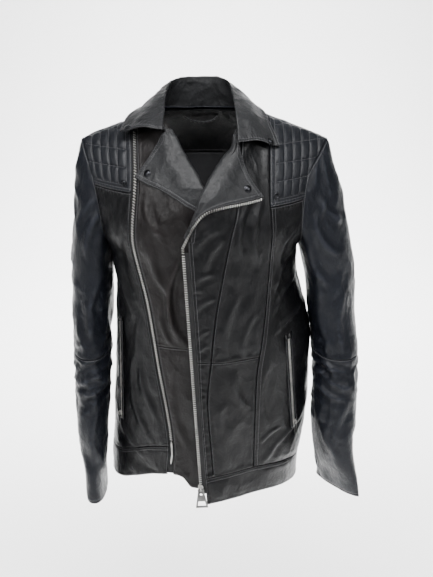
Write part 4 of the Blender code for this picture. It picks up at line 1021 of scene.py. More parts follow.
def make_body():
    zip_out, zip_in = beside(inset_zip, -INSET_OUTER_GAP), beside(inset_zip, INSET_INNER_GAP)

    def put(name, x_in, x_out, z_top, z_bottom, depth, sewn, mat, slot="black_leather", folds=front_folds,
            **kw):
        step = kw.pop("step", STEP)
        outward = (0.0, 1.0 if depth is back_y else -1.0, 0.0)
        shown = Panel(between(x_in, x_out, z_top, z_bottom, depth), outward, step)
        obj = build_panel(name + "_hide", shown, sewn, folds, mat, slot, **kw)
        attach(obj, "jacket_body")
        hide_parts(name)
        return shown, obj

    above = 2 * HALF_SEAM
    band_r, band_l = beside(hem_right, HEM_BAND_RIGHT), beside(hem_left, HEM_BAND_LEFT)
    band_b = beside(hem_back, HEM_BAND_LEFT)
    over_r, over_l, over_b = (beside(band, above) for band in (band_r, band_l, band_b))
    mid_in, mid_out = beside(mid_seam, -HALF_SEAM), beside(mid_seam, HALF_SEAM)
    princess_in, princess_out = beside(princess_seam, -HALF_SEAM), beside(princess_seam, HALF_SEAM)
    # Wearer's right.
    yoke, obj = put("right_shoulder_yoke", right_outer, zip_out, neckline, level(YOKE_RIGHT_Z), front_y,
                    edges(PLAIN, SEWN, PLAIN, TWICE), LIT_QUILT_LEATHER, "quilted_leather", None, step=QUILT_STEP,
                    extra=quilting(*QUILT_RIGHT, "out", YOKE_RIGHT_Z))
    yokes["right"] = yoke
    quilt_stitches(yoke, "out", *QUILT_RIGHT, YOKE_RIGHT_Z)
    put("right_front_side_panel", right_outer, zip_out, level(YOKE_RIGHT_Z - above), over_r, front_y,
        edges(PLAIN, FOLDED, SEWN, PLAIN), BODY_LEATHER)
    put("right_front_inner_upper_panel", zip_in, underlap, neckline, level(WAIST_RIGHT_Z), front_y,
        edges(FOLDED, PLAIN, PLAIN, PLAIN), LIT_INNER_LEATHER)
    put("right_front_inner_lower_panel", zip_in, underlap, level(WAIST_RIGHT_Z - above), hem_right, front_y,
        edges(FOLDED, PLAIN, SEWN, FOLDED), LIT_INNER_LEATHER)
    put("right_hem_band", right_outer, zip_out, band_r, hem_right, front_y,
        edges(PLAIN, FOLDED, TWICE, FOLDED), SHADED_LOWER_LEATHER, thickness=HEM_LEATHER)
    # Wearer's left.
    yoke, obj = put("left_shoulder_yoke", princess_out, left_outer, neckline, level(YOKE_LEFT_Z), front_y,
                    edges(TWICE, PLAIN, PLAIN, TWICE), LIT_QUILT_LEATHER, "quilted_leather", None,
                    step=QUILT_STEP, extra=quilting(*QUILT_LEFT, "in", YOKE_LEFT_Z))
    yokes["left"] = yoke
    quilt_stitches(yoke, "in", *QUILT_LEFT, YOKE_LEFT_Z)
    put("left_front_side_panel", princess_out, left_outer, level(YOKE_LEFT_Z - above), over_l, left_front,
        edges(TWICE, TWICE, SEWN, PLAIN), SHADED_LOWER_LEATHER)
    put("left_middle_upper_panel", mid_out, princess_in, neckline, level(WAIST_LEFT_Z), left_front,
        edges(SEWN, PLAIN, PLAIN, PLAIN), BODY_LEATHER)
    put("left_middle_lower_panel", mid_out, princess_in, level(WAIST_LEFT_Z - above), over_l, left_front,
        edges(SEWN, PLAIN, SEWN, PLAIN), SHADED_LOWER_LEATHER)
    put("left_placket_upper_panel", left_edge, mid_in, beside(neckline, -HALF_SEAM), level(WAIST_LEFT_Z),
        left_front, edges(FOLDED_TWICE, PLAIN, PLAIN, PLAIN), BODY_LEATHER, extra=gathers)
    put("left_placket_lower_panel", left_edge, mid_in, level(WAIST_LEFT_Z - above), over_l, left_front,
        edges(FOLDED_TWICE, PLAIN, SEWN, PLAIN), SHADED_LOWER_LEATHER, extra=gathers)
    put("left_hem_band", left_edge, left_outer, band_l, hem_left, left_front,
        edges(FOLDED, PLAIN, TWICE, FOLDED), SHADED_LOWER_LEATHER, thickness=HEM_LEATHER)
    # Back.
    put("back_yoke", back_right_outer, back_left_outer, back_neckline, level(BACK_YOKE_Z), back_y,
        edges(PLAIN, PLAIN, SEWN, PLAIN), LIT_SLEEVE_LEATHER, folds=back_folds)
    put("back_panel", back_right_outer, back_left_outer, level(BACK_YOKE_Z - above), over_b, back_y,
        edges(PLAIN, PLAIN, TWICE, PLAIN), BODY_LEATHER, folds=back_folds)
    put("back_hem_band", back_right_outer, back_left_outer, band_b, hem_back, back_y,
        edges(PLAIN, PLAIN, TWICE, FOLDED), SHADED_LOWER_LEATHER, folds=back_folds, thickness=HEM_LEATHER)


def gathers(panel):
    """Short puckers square to the zip in the placket's leading strip."""
    d = panel.d_in
    z = panel.flat[..., 2:3]
    wave = noise(np.concatenate([d[..., None] / 0.05, z / 0.0075, z * 0.0], -1), 95)
    slow = smooth(0.6 + 1.4 * noise(np.concatenate([z * 0.0, z / 0.06, z * 0.0], -1), 96))
    reach = np.exp(-((d - 0.011) / 0.009) ** 2)
    below_roll = smooth((-0.175 - panel.flat[..., 2]) / 0.03)
    return 0.0016 * wave * slow * reach * below_roll


def quilt_stitches(panel, edge, cell_w, cell_h, z_from):
    """Sewn rows and columns of the quilting, found on the finished panel."""
    u = (panel.distance(edge) - QUILT_BORDER) / cell_w
    v = (panel.flat[..., 2] - z_from - QUILT_BORDER) / cell_h
    for grid, axis, other in ((v, 0, u), (u, 1, v)):
        for mark in range(0, int(np.ceil(grid.max())) + 1):
            points, normals = [], []
            lines = grid.shape[1 - axis]
            for k in range(3, lines - 3):
                column = grid[:, k] if axis == 0 else grid[k, :]
                beyond = other[:, k] if axis == 0 else other[k, :]
                order = np.argsort(column)
                if not column.min() + 0.05 < mark < column.max() - 0.05:
                    continue
                if np.interp(mark, column[order], beyond[order]) < 0.0:
                    continue
                line = panel.points[:, k] if axis == 0 else panel.points[k, :]
                facing = panel.normals[:, k] if axis == 0 else panel.normals[k, :]
                points.append([np.interp(mark, column[order], line[order, i]) for i in range(3)])
                normals.append([np.interp(mark, column[order], facing[order, i]) for i in range(3)])
            if len(points) > 8:
                sew("jacket_body", points, normals)


# ---------------------------------------------------------------- linings

def make_linings():
    u = np.linspace(0.0, 1.0, 220)
    heights = np.linspace(-0.256, -0.668, 120)
    rows = []
    for z in heights:
        centre, half = sides(z)
        inner = half - LINING_GAP
        start = math.asin((inset_zip(z) - 0.020 - centre) / inner)
        end = math.asin((float(left_edge(z)) + 0.035 - centre) / inner)
        lengths = (math.pi / 2 + start, math.pi, math.pi / 2 - end)
        marks = np.cumsum([0.0, *lengths]) / sum(lengths)
        angle = np.interp(u, marks, [start, -math.pi / 2, math.pi / 2, end])
        angle_back = (u > marks[1]) & (u < marks[2])
        x = centre + inner * np.sin(angle)
        level_z = np.full_like(x, z)
        y = np.where(angle_back, back_y(x, level_z, LINING_GAP), front_y(x, level_z, LINING_GAP))
        rows.append(np.stack([x, y, level_z], -1))
    lining_shell("body_lining_cloth", np.array(rows), 0.0022, ("body_lining",))
    x = np.linspace(-0.150, 0.150, 90)
    top = np.where(np.abs(x) > 0.125, back_neckline(x) - 0.02, back_neckline(x) - 0.0065)
    s = np.linspace(0.0, 1.0, 40)[:, None]
    z = top + (-0.100 - top) * s
    grid = np.stack([np.broadcast_to(x, z.shape), back_y(np.broadcast_to(x, z.shape), z, LINING_GAP), z], -1)
    n = grid_normals(grid)
    n = n * np.sign(-n[..., 1].mean())
    grid = grid + n * (0.0006 * noise(grid / 0.03, 5))[..., None]
    obj = shell("back_neck_facing_hide", grid, n, FACING_LEATHER, flip=True)
    paint(obj, BODY_LEATHER, "black_leather")
    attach(obj, "jacket_body")
    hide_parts("back_neck_facing")
    sew("jacket_body", grid[-3, 2:-2], n[-3, 2:-2])
    z = np.linspace(-0.101, -0.258, 60)[:, None]
    x = np.linspace(-1.0, 1.0, 110)[None, :] * (back_armhole(z) - 0.018)
    z = np.broadcast_to(z, x.shape)
    grid = np.stack([x, back_y(x, z, LINING_GAP), z], -1)
    lining_shell("back_lining_cloth", grid, 0.0020, ())
    hanger()


def lining_shell(name, grid, swell, nodes):
    """Cloth on a grid, with soft swellings up to swell high towards the inside of the jacket."""
    n = grid_normals(grid)
    inward = -grid
    inward[..., 2] = 0.0
    if (n * inward).sum() < 0:
        n = -n
    height = swell * (noise(grid / np.array([0.03, 0.03, 0.09]), 15) * 0.5 + 0.5)
    grid = grid + n * height[..., None]
    obj = shell(name, grid, n, CLOTH)
    mend(obj.data)
    paint(obj, LINING_CLOTH, "black_cloth")
    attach(obj, "jacket_body")
    if nodes:
        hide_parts(*nodes)
    return obj


def mend(mesh, merge=0.0, fill=False):
    """Joins vertices closer than merge, fills holes if asked, and turns every face outwards."""
    solid = bmesh.new()
    solid.from_mesh(mesh)
    if merge:
        bmesh.ops.remove_doubles(solid, verts=solid.verts, dist=merge)
    open_edges = [edge for edge in solid.edges if edge.is_boundary] if fill else ()
    if open_edges:
        bmesh.ops.holes_fill(solid, edges=open_edges, sides=0)
    bmesh.ops.recalc_face_normals(solid, faces=solid.faces)
    solid.to_mesh(mesh)
    solid.free()


def hanger():
    """Twisted cord loop sewn inside the neck."""
    knots = [(x, float(back_y(x, z, LINING_GAP)) - away, z) for x, away, z in HANGER]
    path = line_at(knots, np.linspace(0.0, 1.0, 60))
    obj = tube("hanger_loop_cord", path, HANGER_RADIUS, 14, twist=0.00022)
    paint(obj, LINING_CLOTH, "black_cloth")
    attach(obj, "jacket_body")
    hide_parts("hanger_loop")


def tube(name, path, radius, sides_count, twist=0.0):
    """Closed tube along a path, with optional spiral ridges like a twisted cord."""
    ahead = unit(np.gradient(path, axis=0))
    side = unit(np.cross(ahead, np.array([0.03, 0.02, 1.0])))
    up = np.cross(side, ahead)
    runs = travelled(path)
    a = np.linspace(0.0, 2.0 * np.pi, sides_count, endpoint=False)
    r = radius + twist * np.cos(3.0 * a[None, :] - runs[:, None] / radius * 1.3)
    ends = np.minimum(np.arange(len(path)), np.arange(len(path))[::-1])
    r = r * np.minimum(0.35 + ends[:, None] * 0.4, 1.0)
    round_side = side[:, None] * (np.cos(a) * r)[..., None]
    rings = path[:, None] + round_side + up[:, None] * (np.sin(a) * r)[..., None]
    last = (len(path) - 1) * sides_count
    i = np.arange(len(path) - 1)[:, None] * sides_count
    j = np.arange(sides_count)[None, :]
    k = (j + 1) % sides_count
    corners = (i + j, i + k, i + sides_count + k, i + sides_count + j)
    faces = np.stack([corner.ravel() for corner in corners], 1).tolist()
    faces += [list(range(sides_count))[::-1], list(range(last, last + sides_count))]
    obj = mesh_object(name, rings.reshape(-1, 3), faces)
    mend(obj.data)
    return obj


# ---------------------------------------------------------------- lapels and collar

def evenly(knots):
    """Smooth line through the knots, as a function of the share of its length."""
    dense = line_at(knots, np.linspace(0.0, 1.0, 400))
    runs = travelled(dense)
    return lambda u: np.stack([np.interp(u, runs / runs[-1], dense[:, k]) for k in range(dense.shape[1])], -1)


def lapel_place(lines, depth):
    """Placing function of a lapel lying on the chest: s runs down the roll, t from the roll outwards."""
    roll, outer, lower = (evenly(line) for line in lines)
    bottom, tip = np.array(lines[0][-1]), np.array(lines[1][-1])

    def place(s, t):
        s1, t1 = s[..., None], t[..., None]
        flat = roll(s) * (1 - t1) + outer(s) * t1
        flat = flat + (lower(t) - (bottom * (1 - t1) + tip * t1)) * s1 ** 2
        lift = LAPEL_LIFT + 0.0018 * np.sin(np.pi * t) - 0.0012 * t + 0.0014 * s ** 3 * t ** 2
        lift = lift - 0.0022 * smooth((s - 0.6) / 0.4) * (1 - t)
        lift = lift + 0.0008 * np.sin(9.0 * t + 5.0 * s)
        x, z = flat[..., 0], flat[..., 1]
        return np.stack([x, depth(x, z) - lift, z], -1)
    return place


def lapel_folds(p):
    lump = 0.0016 * noise(p / 0.045, 103)
    mid = 0.0010 * crumple(p, 0.034, 121, (0.8, 1.0, 1.3))
    fine = 0.0004 * crumple(p, 0.0110, 131) * smooth(0.55 + 1.5 * noise(p / 0.035, 109))
    return lump + mid + fine


def make_lapels():
    """Both lapels, each with the turn of its roll and the flap that lies behind the front's edge."""
    made = {}
    for side, lines, depth, opening in (("right", RIGHT_LAPEL, front_y, 1.0),
                                        ("left", LEFT_LAPEL, left_front, -1.0)):
        panel = Panel(lapel_place(lines, depth), (0.0, -1.0, 0.0), LAPEL_STEP)
        first = panel.flat[:, :1]
        behind = 0.0022
        radius = ((depth(first[..., 0], first[..., 2]) + behind) - first[..., 1])[..., None] / 2.0
        middle = first + radius * np.array([0.0, 1.0, 0.0])
        turn = np.linspace(0.0, np.pi, 13)[None, :-1, None]
        ring = middle + radius * (np.sin(turn) * np.array([opening, 0.0, 0.0])
                                  + np.cos(turn) * np.array([0.0, 1.0, 0.0]))
        flap = np.linspace(0.011, 0.001, 5)[None, :, None]
        tuck = middle + radius * np.array([0.0, 1.0, 0.0]) - flap * np.array([opening, 0.0, 0.0])
        panel.measure(np.concatenate([tuck, ring, panel.flat], 1))
        sewn = edges(("none", ()), FOLDED_TWICE, FOLDED, FOLDED_TWICE)
        obj = build_panel(side + "_lapel_hide", panel, sewn, lapel_folds, LIT_LAPEL_LEATHER, "black_leather",
                          thickness=LAPEL_THICKNESS, calm=0.010, body=side + "_lapel", ripple=LAPEL_RIPPLE)
        top, low = (Vector(end) for end in LAPEL_BEND[side])
        away = Vector((-opening, 0.0, 0.0))
        across = (top - low).normalized()
        square = (away - across * away.dot(across)).normalized()
        start = (top + low) / 2.0 - square * 0.0060
        bend[side + "_lapel"] = ("jacket_body", side + "_lapel", start, start + square * 0.0120)
        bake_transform(obj)
        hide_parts(side + "_lapel")
        made[side] = panel
    return made


def make_collar():
    def place(s, t):
        foot, roll, edge = (line_at(k, t) for k in (COLLAR_FOOT, COLLAR_ROLL, COLLAR_EDGE))
        away = edge - foot
        away[..., 2] = 0.0
        away = unit(away)
        up = np.array([0.0, 0.0, 1.0])

        def leaf(share):
            swell = 0.006 * math.sin(math.pi * min(share * 1.2, 1.0))
            return roll + (edge - roll) * share + up * (swell + 0.002) + away * (0.004 + swell * 0.3)
        drop = 0.003 + 0.021 * smooth(2.2 * np.sin(np.pi * t))[..., None]
        hidden = foot - up * drop
        x, z = hidden[..., 0], hidden[..., 2]
        tucked = np.stack([x, back_y(x, z) - 0.0028, z], -1)
        rear = smooth(foot[..., 1:2] / 0.03)
        hidden = (hidden - away * 0.004) * (1.0 - rear) + tucked * rear
        section = [hidden, foot * 0.5 + roll * 0.5, foot * 0.12 + roll * 0.88 - away * 0.0004,
                   roll + up * 0.0034 + away * 0.0004]
        section = np.stack(section + [leaf(share) for share in (0.10, 0.32, 0.55, 0.78, 1.0)], -2)
        along = travelled(section, 2)
        want = s * along[..., -1]
        last = section.shape[2] - 1
        k = np.clip((along[..., None] <= want[..., None, None]).sum(-2)[..., 0] - 1, 0, last - 1)
        low, high = (np.take_along_axis(along, i[..., None], -1)[..., 0] for i in (k, k + 1))
        f = ((want - low) / np.maximum(high - low, 1e-9))[..., None]
        knots = [np.take_along_axis(section, np.clip(k + i, 0, last)[..., None, None], -2)[..., 0, :]
                 for i in (-1, 0, 1, 2)]
        return through(*knots, f)
    panel = Panel(place, (0.0, 0.0, 1.0), COLLAR_STEP)
    # The leaf's own upper side decides which way is out.
    if panel.normals[-20:, :, 2].mean() < 0:
        panel.normals, panel.flipped = -panel.normals, not panel.flipped
    sewn = edges(FOLDED_TWICE, FOLDED_TWICE, PLAIN, FOLDED_TWICE)
    obj = build_panel("collar_hide", panel, sewn, collar_folds, LIT_LAPEL_LEATHER, "black_leather",
                      thickness=COLLAR_THICKNESS, calm=0.008, ripple=LAPEL_RIPPLE)
    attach(obj, "jacket_body")
    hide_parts("collar_stand", "collar_leaf")
    return panel


def collar_folds(p):
    lump = 0.0012 * noise(p / 0.05, 203)
    mid = 0.0014 * crumple(p, 0.032, 221)
    fine = 0.0006 * crumple(p, 0.010, 231) * smooth(0.5 + 1.5 * noise(p / 0.04, 209))
    return lump + mid + fine


# ---------------------------------------------------------------- metal pieces

def turned(name, profile, place, body, steps=48):
    """A gunmetal profile of (radius, height), turned about local Z and set at a 4 x 4 place."""
    rows = len(profile)
    a = np.linspace(0.0, 2.0 * np.pi, steps, endpoint=False)
    points = [(r * math.cos(t), r * math.sin(t), h) for r, h in profile for t in a]
    faces = []
    for i in range(rows - 1):
        for j in range(steps):
            k = (j + 1) % steps
            faces.append((i * steps + j, i * steps + k, (i + 1) * steps + k, (i + 1) * steps + j))
    obj = mesh_object(name, points, faces)
    mend(obj.data, 1e-6, fill=True)
    obj.data.transform(place)
    obj.data.polygons.foreach_set("use_smooth", [True] * len(obj.data.polygons))
    paint(obj, GUNMETAL, "dark_metal")
    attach(obj, body)
    return obj


def facing(centre, normal, up=Vector((0.0, 0.0, 1.0))):
    """Matrix with local Z along normal and local Y as near up as it can be."""
    z = Vector(normal).normalized()
    x = up.cross(z).normalized()
    return matrix_at(centre, x, z.cross(x).normalized(), z)


def make_snaps(lapels, collar, fronts):
    for side, spot in LAPEL_SNAPS:
        at, out = lapels[side].nearest(*spot)
        obj = turned(side + "_lapel_snap", SNAP_PROFILE, facing(at + out * SNAP_LIFT, out), side + "_lapel")
        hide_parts(side + "_lapel_snap_cap")
    for side in ("right", "left"):
        low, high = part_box(side + "_collar_snap_cap")
        centre = (low + high) / 2.0
        leaf, leaf_normals = collar.points[-30:], collar.normals[-30:]
        gap = np.linalg.norm(leaf - np.array(centre), axis=-1)
        k = np.unravel_index(np.argmin(gap), gap.shape)
        at, out = Vector(leaf[k]), Vector(leaf_normals[k])
        obj = turned(side + "_collar_snap", SNAP_PROFILE, facing(at + out * SNAP_LIFT, out), "jacket_body")
        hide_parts(side + "_collar_snap_cap")
    for side, spot in YOKE_STUDS:
        at, out = fronts[side].nearest(*spot)
        obj = turned(side + "_yoke_ring", STUD_PROFILE, facing(at + out * STUD_LIFT, out), "jacket_body")
        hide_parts(side + "_yoke_stud")


def plate(name, outline, holes, thickness, bevel, place, mat, body):
    """A flat plate in the local XY plane with rounded edges and holes, set at a place."""
    curve = bpy.data.curves.new(name, "CURVE")
    curve.dimensions = "2D"
    curve.fill_mode = "BOTH"
    curve.extrude = thickness / 2.0 - bevel
    curve.bevel_depth = bevel
    curve.bevel_resolution = 2
    curve.offset = -bevel
    for loop in (outline, *holes):
        spline = curve.splines.new("POLY")
        spline.points.add(len(loop) - 1)
        for point, knot in zip(spline.points, loop):
            point.co = (knot[0], knot[1], 0.0, 1.0)
        spline.use_cyclic_u = True
    helper = bpy.data.objects.new(name + "_outline", curve)
    scene.collection.objects.link(helper)
    graph = bpy.context.evaluated_depsgraph_get()
    mesh = bpy.data.meshes.new_from_object(helper.evaluated_get(graph))
    bpy.data.objects.remove(helper)
    mend(mesh, 2e-6)
    mesh.transform(place)
    obj = bpy.data.objects.new(name, mesh)
    scene.collection.objects.link(obj)
    paint(obj, mat, "nickel")
    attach(obj, body)
    return obj


def rounded_loop(corners, radius, steps=5):
    """Outline through the corners with each one rounded."""
    out = []
    count = len(corners)
    for i in range(count):
        before, at, after = (Vector(corners[(i + k) % count]) for k in (-1, 0, 1))
        a = (before - at).normalized() * min(radius, (before - at).length * 0.45)
        b = (after - at).normalized() * min(radius, (after - at).length * 0.45)
        for k in range(steps + 1):
            t = k / steps
            out.append(tuple(at + a * (1 - t) ** 2 + b * t ** 2))
    return out


def circle(centre, radius, steps=24):
    angles = [2 * math.pi * k / steps for k in range(steps)]
    return [(centre[0] + radius * math.cos(a), centre[1] + radius * math.sin(a)) for a in angles]


def tapered_loop(half_a, a, half_b, b, radius):
    """Outline of a rounded block that is half_a wide to each side at height a, and half_b at height b."""
    return rounded_loop([(-half_a, a), (half_a, a), (half_b, b), (-half_b, b)], radius)


def matrix_at(point, x, y, z):
    matrix = Matrix((x, y, z)).transposed().to_4x4()
    matrix.translation = Vector(point)
    return matrix


def zip_frame(point, axis, normal):
    """Local Y along the zip, local Z out of the garment."""
    y = Vector(axis).normalized()
    x = y.cross(Vector(normal)).normalized()
    return matrix_at(point, x, y, x.cross(y).normalized())


def hanging(place):
    """The place turned about the bridge so that a tab hangs plumb, if that swings it off the garment."""
    across = place.to_3x3() @ Vector((1.0, 0.0, 0.0))
    out = place.to_3x3() @ Vector((0.0, 0.0, 1.0))
    down = Vector((0.0, 0.0, -1.0))
    down = (down - across * down.dot(across)).normalized()
    pivot = place @ Vector((0.0, 0.0, BRIDGE_HEIGHT))
    if down.dot(out) > 0.0:
        return zip_frame(pivot, -down, across.cross(-down))
    held = place.copy()
    held.translation = pivot
    return held


def join(objects, name):
    """One object from several that share a body."""
    bpy.ops.object.select_all(action="DESELECT")
    for obj in objects:
        obj.select_set(True)
    bpy.context.view_layer.objects.active = objects[0]
    bpy.ops.object.join()
    objects[0].name = name
    return objects[0]


def make_slider(name, place, wide, tall, body, node):
    """Slider: front and back plates that taper to the closing end, a neck between them and a bridge."""
    w, h = wide / 2.0, tall / 2.0
    shield = rounded_loop([(-w, h * 0.55), (-w * 0.55, h), (w * 0.55, h), (w, h * 0.55), (w * 0.72, -h),
                           (-w * 0.72, -h)], wide * 0.16)
    parts = []
    for part, lift in (("_face", SLIDER_PLATE_Z), ("_back", -SLIDER_PLATE_Z)):
        at = place @ Matrix.Translation((0, 0, lift))
        parts.append(plate(name + part, shield, (), 0.0012, 0.0004, at, NICKEL, body))
    neck = tapered_loop(w * 0.30, h * 0.9, w * 0.12, h * 0.2, 0.0004)
    parts.append(plate(name + "_neck", neck, (), 0.0034, 0.0001, place, NICKEL, body))
    arch = rounded_loop([(-0.0042, -0.0006), (-0.0042, 0.0030), (-0.0026, 0.0045), (0.0026, 0.0045),
                         (0.0042, 0.0030), (0.0042, -0.0006)], 0.0010)
    hole = rounded_loop([(-0.0028, 0.0004), (-0.0028, 0.0028), (-0.0020, 0.0034), (0.0020, 0.0034),
                         (0.0028, 0.0028), (0.0028, 0.0004)], 0.0006)
    turn = Matrix(((0, 0, 1, 0), (1, 0, 0, 0), (0, 1, 0, 0.0027), (0, 0, 0, 1)))
    parts.append(plate(name + "_bridge", arch, (hole,), 0.0020, 0.0004, place @ turn, NICKEL, body))
    obj = join(parts, name)
    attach(obj, body)
    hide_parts(node)
    return obj


def make_puller(name, place, top, bottom, length, holes, body, node, thick=0.0012):
    """Tab with a loop round the bridge and windows cut through it."""
    half_top, half_bottom = top / 2.0, bottom / 2.0
    outline = rounded_loop([(-half_top, 0.0012), (half_top, 0.0012), (half_top, -0.0060),
                            (half_bottom, -length), (-half_bottom, -length), (-half_top, -0.0060)],
                           min(0.0016, half_top * 0.4))
    ear = min(half_top - 0.0012, 0.0028)
    loop = tapered_loop(ear, -0.0010, ear, -0.0046, 0.0006)
    obj = plate(name, outline, (loop, *holes), thick, thick * 0.32, hanging(place), SHADED_PULLER_METAL, body)
    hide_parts(node)
    return obj


# ---------------------------------------------------------------- zips

def tooth(wide, long, high, head):
    """One zip tooth: a leg clamped on the tape and a thicker head on its free side."""
    leg = template(box_points(wide, long * 0.80, high * 0.86, (wide * 0.10, 0.0, 0.0)), high * 0.14)
    cap = template(box_points(wide * 0.46, long, high, (-wide * 0.34 * head, 0.0, 0.0)), high * 0.20)
    verts = np.concatenate([leg[0], cap[0]])
    return verts, leg[1] + [[i + len(leg[0]) for i in face] for face in cap[1]]


def chain(name, points, normals, pitch, shape, body, turn=0.0):
    return stamp(name, shape, places_along(points, normals, pitch, turn=turn), NICKEL, "nickel", body)


def ribbon(name, points, across, normals, width, body, bead=0.0):
    """Tape along a path: its near edge on the points, its width along across, with a beaded near edge."""
    points, across, normals = (np.asarray(v, float) for v in (points, across, normals))
    share = np.linspace(0.0, 1.0, 9)[None, :, None]
    lift = bead * np.exp(-(share * width / 0.0011) ** 2)
    outer = points[:, None] + across[:, None] * share * width + normals[:, None] * (lift + TAPE / 2)
    n = grid_normals(outer)
    if (n * normals[:, None]).sum() < 0:
        n = -n
    obj = shell(name, outer, n, TAPE)
    mend(obj.data)
    paint(obj, TAPE_CLOTH, "black_cloth")
    if body:
        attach(obj, body)
    return obj


def make_main_zip(lapels):
    axis = (ZIP_TOP - ZIP_BOTTOM).normalized()
    outward = Vector((0.0, -1.0, 0.0))
    z = np.linspace(ZIP_BOTTOM.z + 0.004, -0.205, 160)
    path = np.stack([zip_edge_x(z), np.full_like(z, ZIP_TOP.y), z], 1)
    n = np.tile(np.array(outward), (len(z), 1))
    obj = chain("left_zip_teeth", path, n, MAIN_PITCH, tooth(*MAIN_TOOTH), "jacket_body")
    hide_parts("left_zip_chain")
    sideways = np.tile([1.0, 0.0, 0.0], (len(z), 1))
    tape = ribbon("left_zip_ribbon", path + np.array([0.0004, 0.0008, 0.0]), sideways, n, 0.0100,
                  "jacket_body", bead=0.0008)
    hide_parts("left_zip_tape")
    # The chain turns out with the lapel's lower edge.
    panel = lapels["left"]
    rim = panel.points[-1, 17:-2]
    rim_n = panel.normals[-4, 17:-2]
    smooth_n = rim_n.copy()
    for _ in range(30):
        smooth_n[1:-1] = (smooth_n[:-2] + smooth_n[2:] + 2 * smooth_n[1:-1]) / 4.0
    smooth_n = unit(smooth_n)
    out = unit(np.cross(np.gradient(rim, axis=0), smooth_n))
    if out[:, 2].mean() > 0:
        out = -out
    start = np.array([[zip_edge_x(-0.207), ZIP_TOP.y, -0.207], [zip_edge_x(-0.196), ZIP_TOP.y, -0.196]])
    edge = rim + out * 0.0030 - smooth_n * 0.0012
    for _ in range(12):
        edge[1:-1] = (edge[:-2] + edge[2:] + 2 * edge[1:-1]) / 4.0
    knots = np.concatenate([start, edge[14:]])
    knot_n = np.concatenate([np.tile(np.array(outward), (2, 1)), smooth_n[14:]])
    obj = chain("left_lapel_zip_teeth", knots, knot_n, LAPEL_PITCH, tooth(*LAPEL_TOOTH), None,
                turn=LAPEL_TURN)
    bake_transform(obj)
    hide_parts("left_lapel_zip_chain")
    tape = ribbon("left_lapel_zip_ribbon", edge[10:] - out[10:] * 0.0002, -out[10:], smooth_n[10:], 0.0060,
                  None, bead=0.0006)
    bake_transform(tape)
    # Wearer's right: inset between the side panel and the inner panel.
    z = np.linspace(-0.030, -0.590, 200)
    x = inset_zip(z)
    y = front_y(x, z)
    path = np.stack([x, y, z], 1)
    step = 0.004
    dx = (front_y(x + step, z) - front_y(x - step, z)) / (2 * step)
    dz = (front_y(x, z + step) - front_y(x, z - step)) / (2 * step)
    n = unit(np.stack([dx, -np.ones_like(dx), dz], 1))
    path, n = path[::-1], n[::-1]
    obj = chain("right_zip_teeth", path + n * 0.0003, n, MAIN_PITCH * INSET_STRETCH, tooth(*MAIN_TOOTH),
                "jacket_body", turn=INSET_TURN)
    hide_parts("right_zip_chain")
    ends = np.linspace(-0.026, -0.664, 200)
    x = inset_zip(ends)
    bed, far = (np.stack([x + off, front_y(x + off, ends) + 0.0022, ends], 1) for off in (-0.0085, 0.0075))
    across = far - bed
    width = float(np.linalg.norm(across, axis=1).mean())
    forward = np.tile(np.array(outward), (len(ends), 1))
    tape = ribbon("right_zip_ribbon", bed, across / width, forward, width, "jacket_body")
    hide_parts("right_zip_tape")
    make_pin()
    rest = ZIP_BOTTOM + axis * ((ZIP_SLIDER_Z - ZIP_BOTTOM.z) / axis.z)
    place = zip_frame(rest, axis, outward)
    make_slider("main_slider", place, 0.0104, 0.0154, "main_zip_slider", "main_zip_slider")
    window = tapered_loop(0.0062, -0.0270, 0.0080, -0.0374, 0.0008)
    make_puller("main_puller", place, 0.0120, 0.0240, 0.0420, (circle((0.0, -0.0112), 0.0026), window),
                "main_zip_puller", "main_zip_puller", 0.0014)
    box = zip_frame(ZIP_BOTTOM - axis * 0.0055, axis, outward)
    lip = box @ Matrix.Translation((0, 0, 0.0023))
    block_outline = tapered_loop(0.0050, -0.0045, 0.0050, 0.0045, 0.0012)
    lip_outline = tapered_loop(0.0030, -0.0034, 0.0030, 0.0034, 0.0008)
    block = plate("retainer_block", block_outline, (), 0.0040, 0.0007, box, NICKEL, "jacket_body")
    rim = plate("retainer_lip", lip_outline, (), 0.0012, 0.0003, lip, NICKEL, "jacket_body")
    keeper = join([block, rim], "zip_retainer")
    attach(keeper, "jacket_body")
    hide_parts("zip_retainer_box")


def make_pin():
    z = np.linspace(-0.592, -0.642, 16)
    x = inset_zip(z)
    path = np.stack([x, front_y(x, z) - 0.0006, z], 1)
    pin = tube("zip_pin", path, 0.0017, 16)
    paint(pin, NICKEL, "nickel")
    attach(pin, "jacket_body")
    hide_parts("zip_insertion_pin")


def interlocked(name, bottom, top, out, body, node):
    """Closed chain: teeth from both tapes in turn, meeting along the middle."""
    axis = (top - bottom).normalized()
    across = axis.cross(out).normalized()
    shape = tooth(*SMALL_TOOTH)
    mirror = (shape[0] * np.array([-1.0, 1.0, 1.0]), [face[::-1] for face in shape[1]])
    pieces = []
    for k, (part, side) in enumerate(((shape, 1.0), (mirror, -1.0))):
        path = [bottom + across * side * SMALL_ROW_GAP, top + across * side * SMALL_ROW_GAP]
        places = places_along(path, [out, out], SMALL_PITCH, start=k * SMALL_PITCH / 2)
        pieces.append(stamp(name + str(k), part, places, NICKEL, "nickel", body))
    obj = join(pieces, name)
    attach(obj, body)
    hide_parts(node)
    return obj


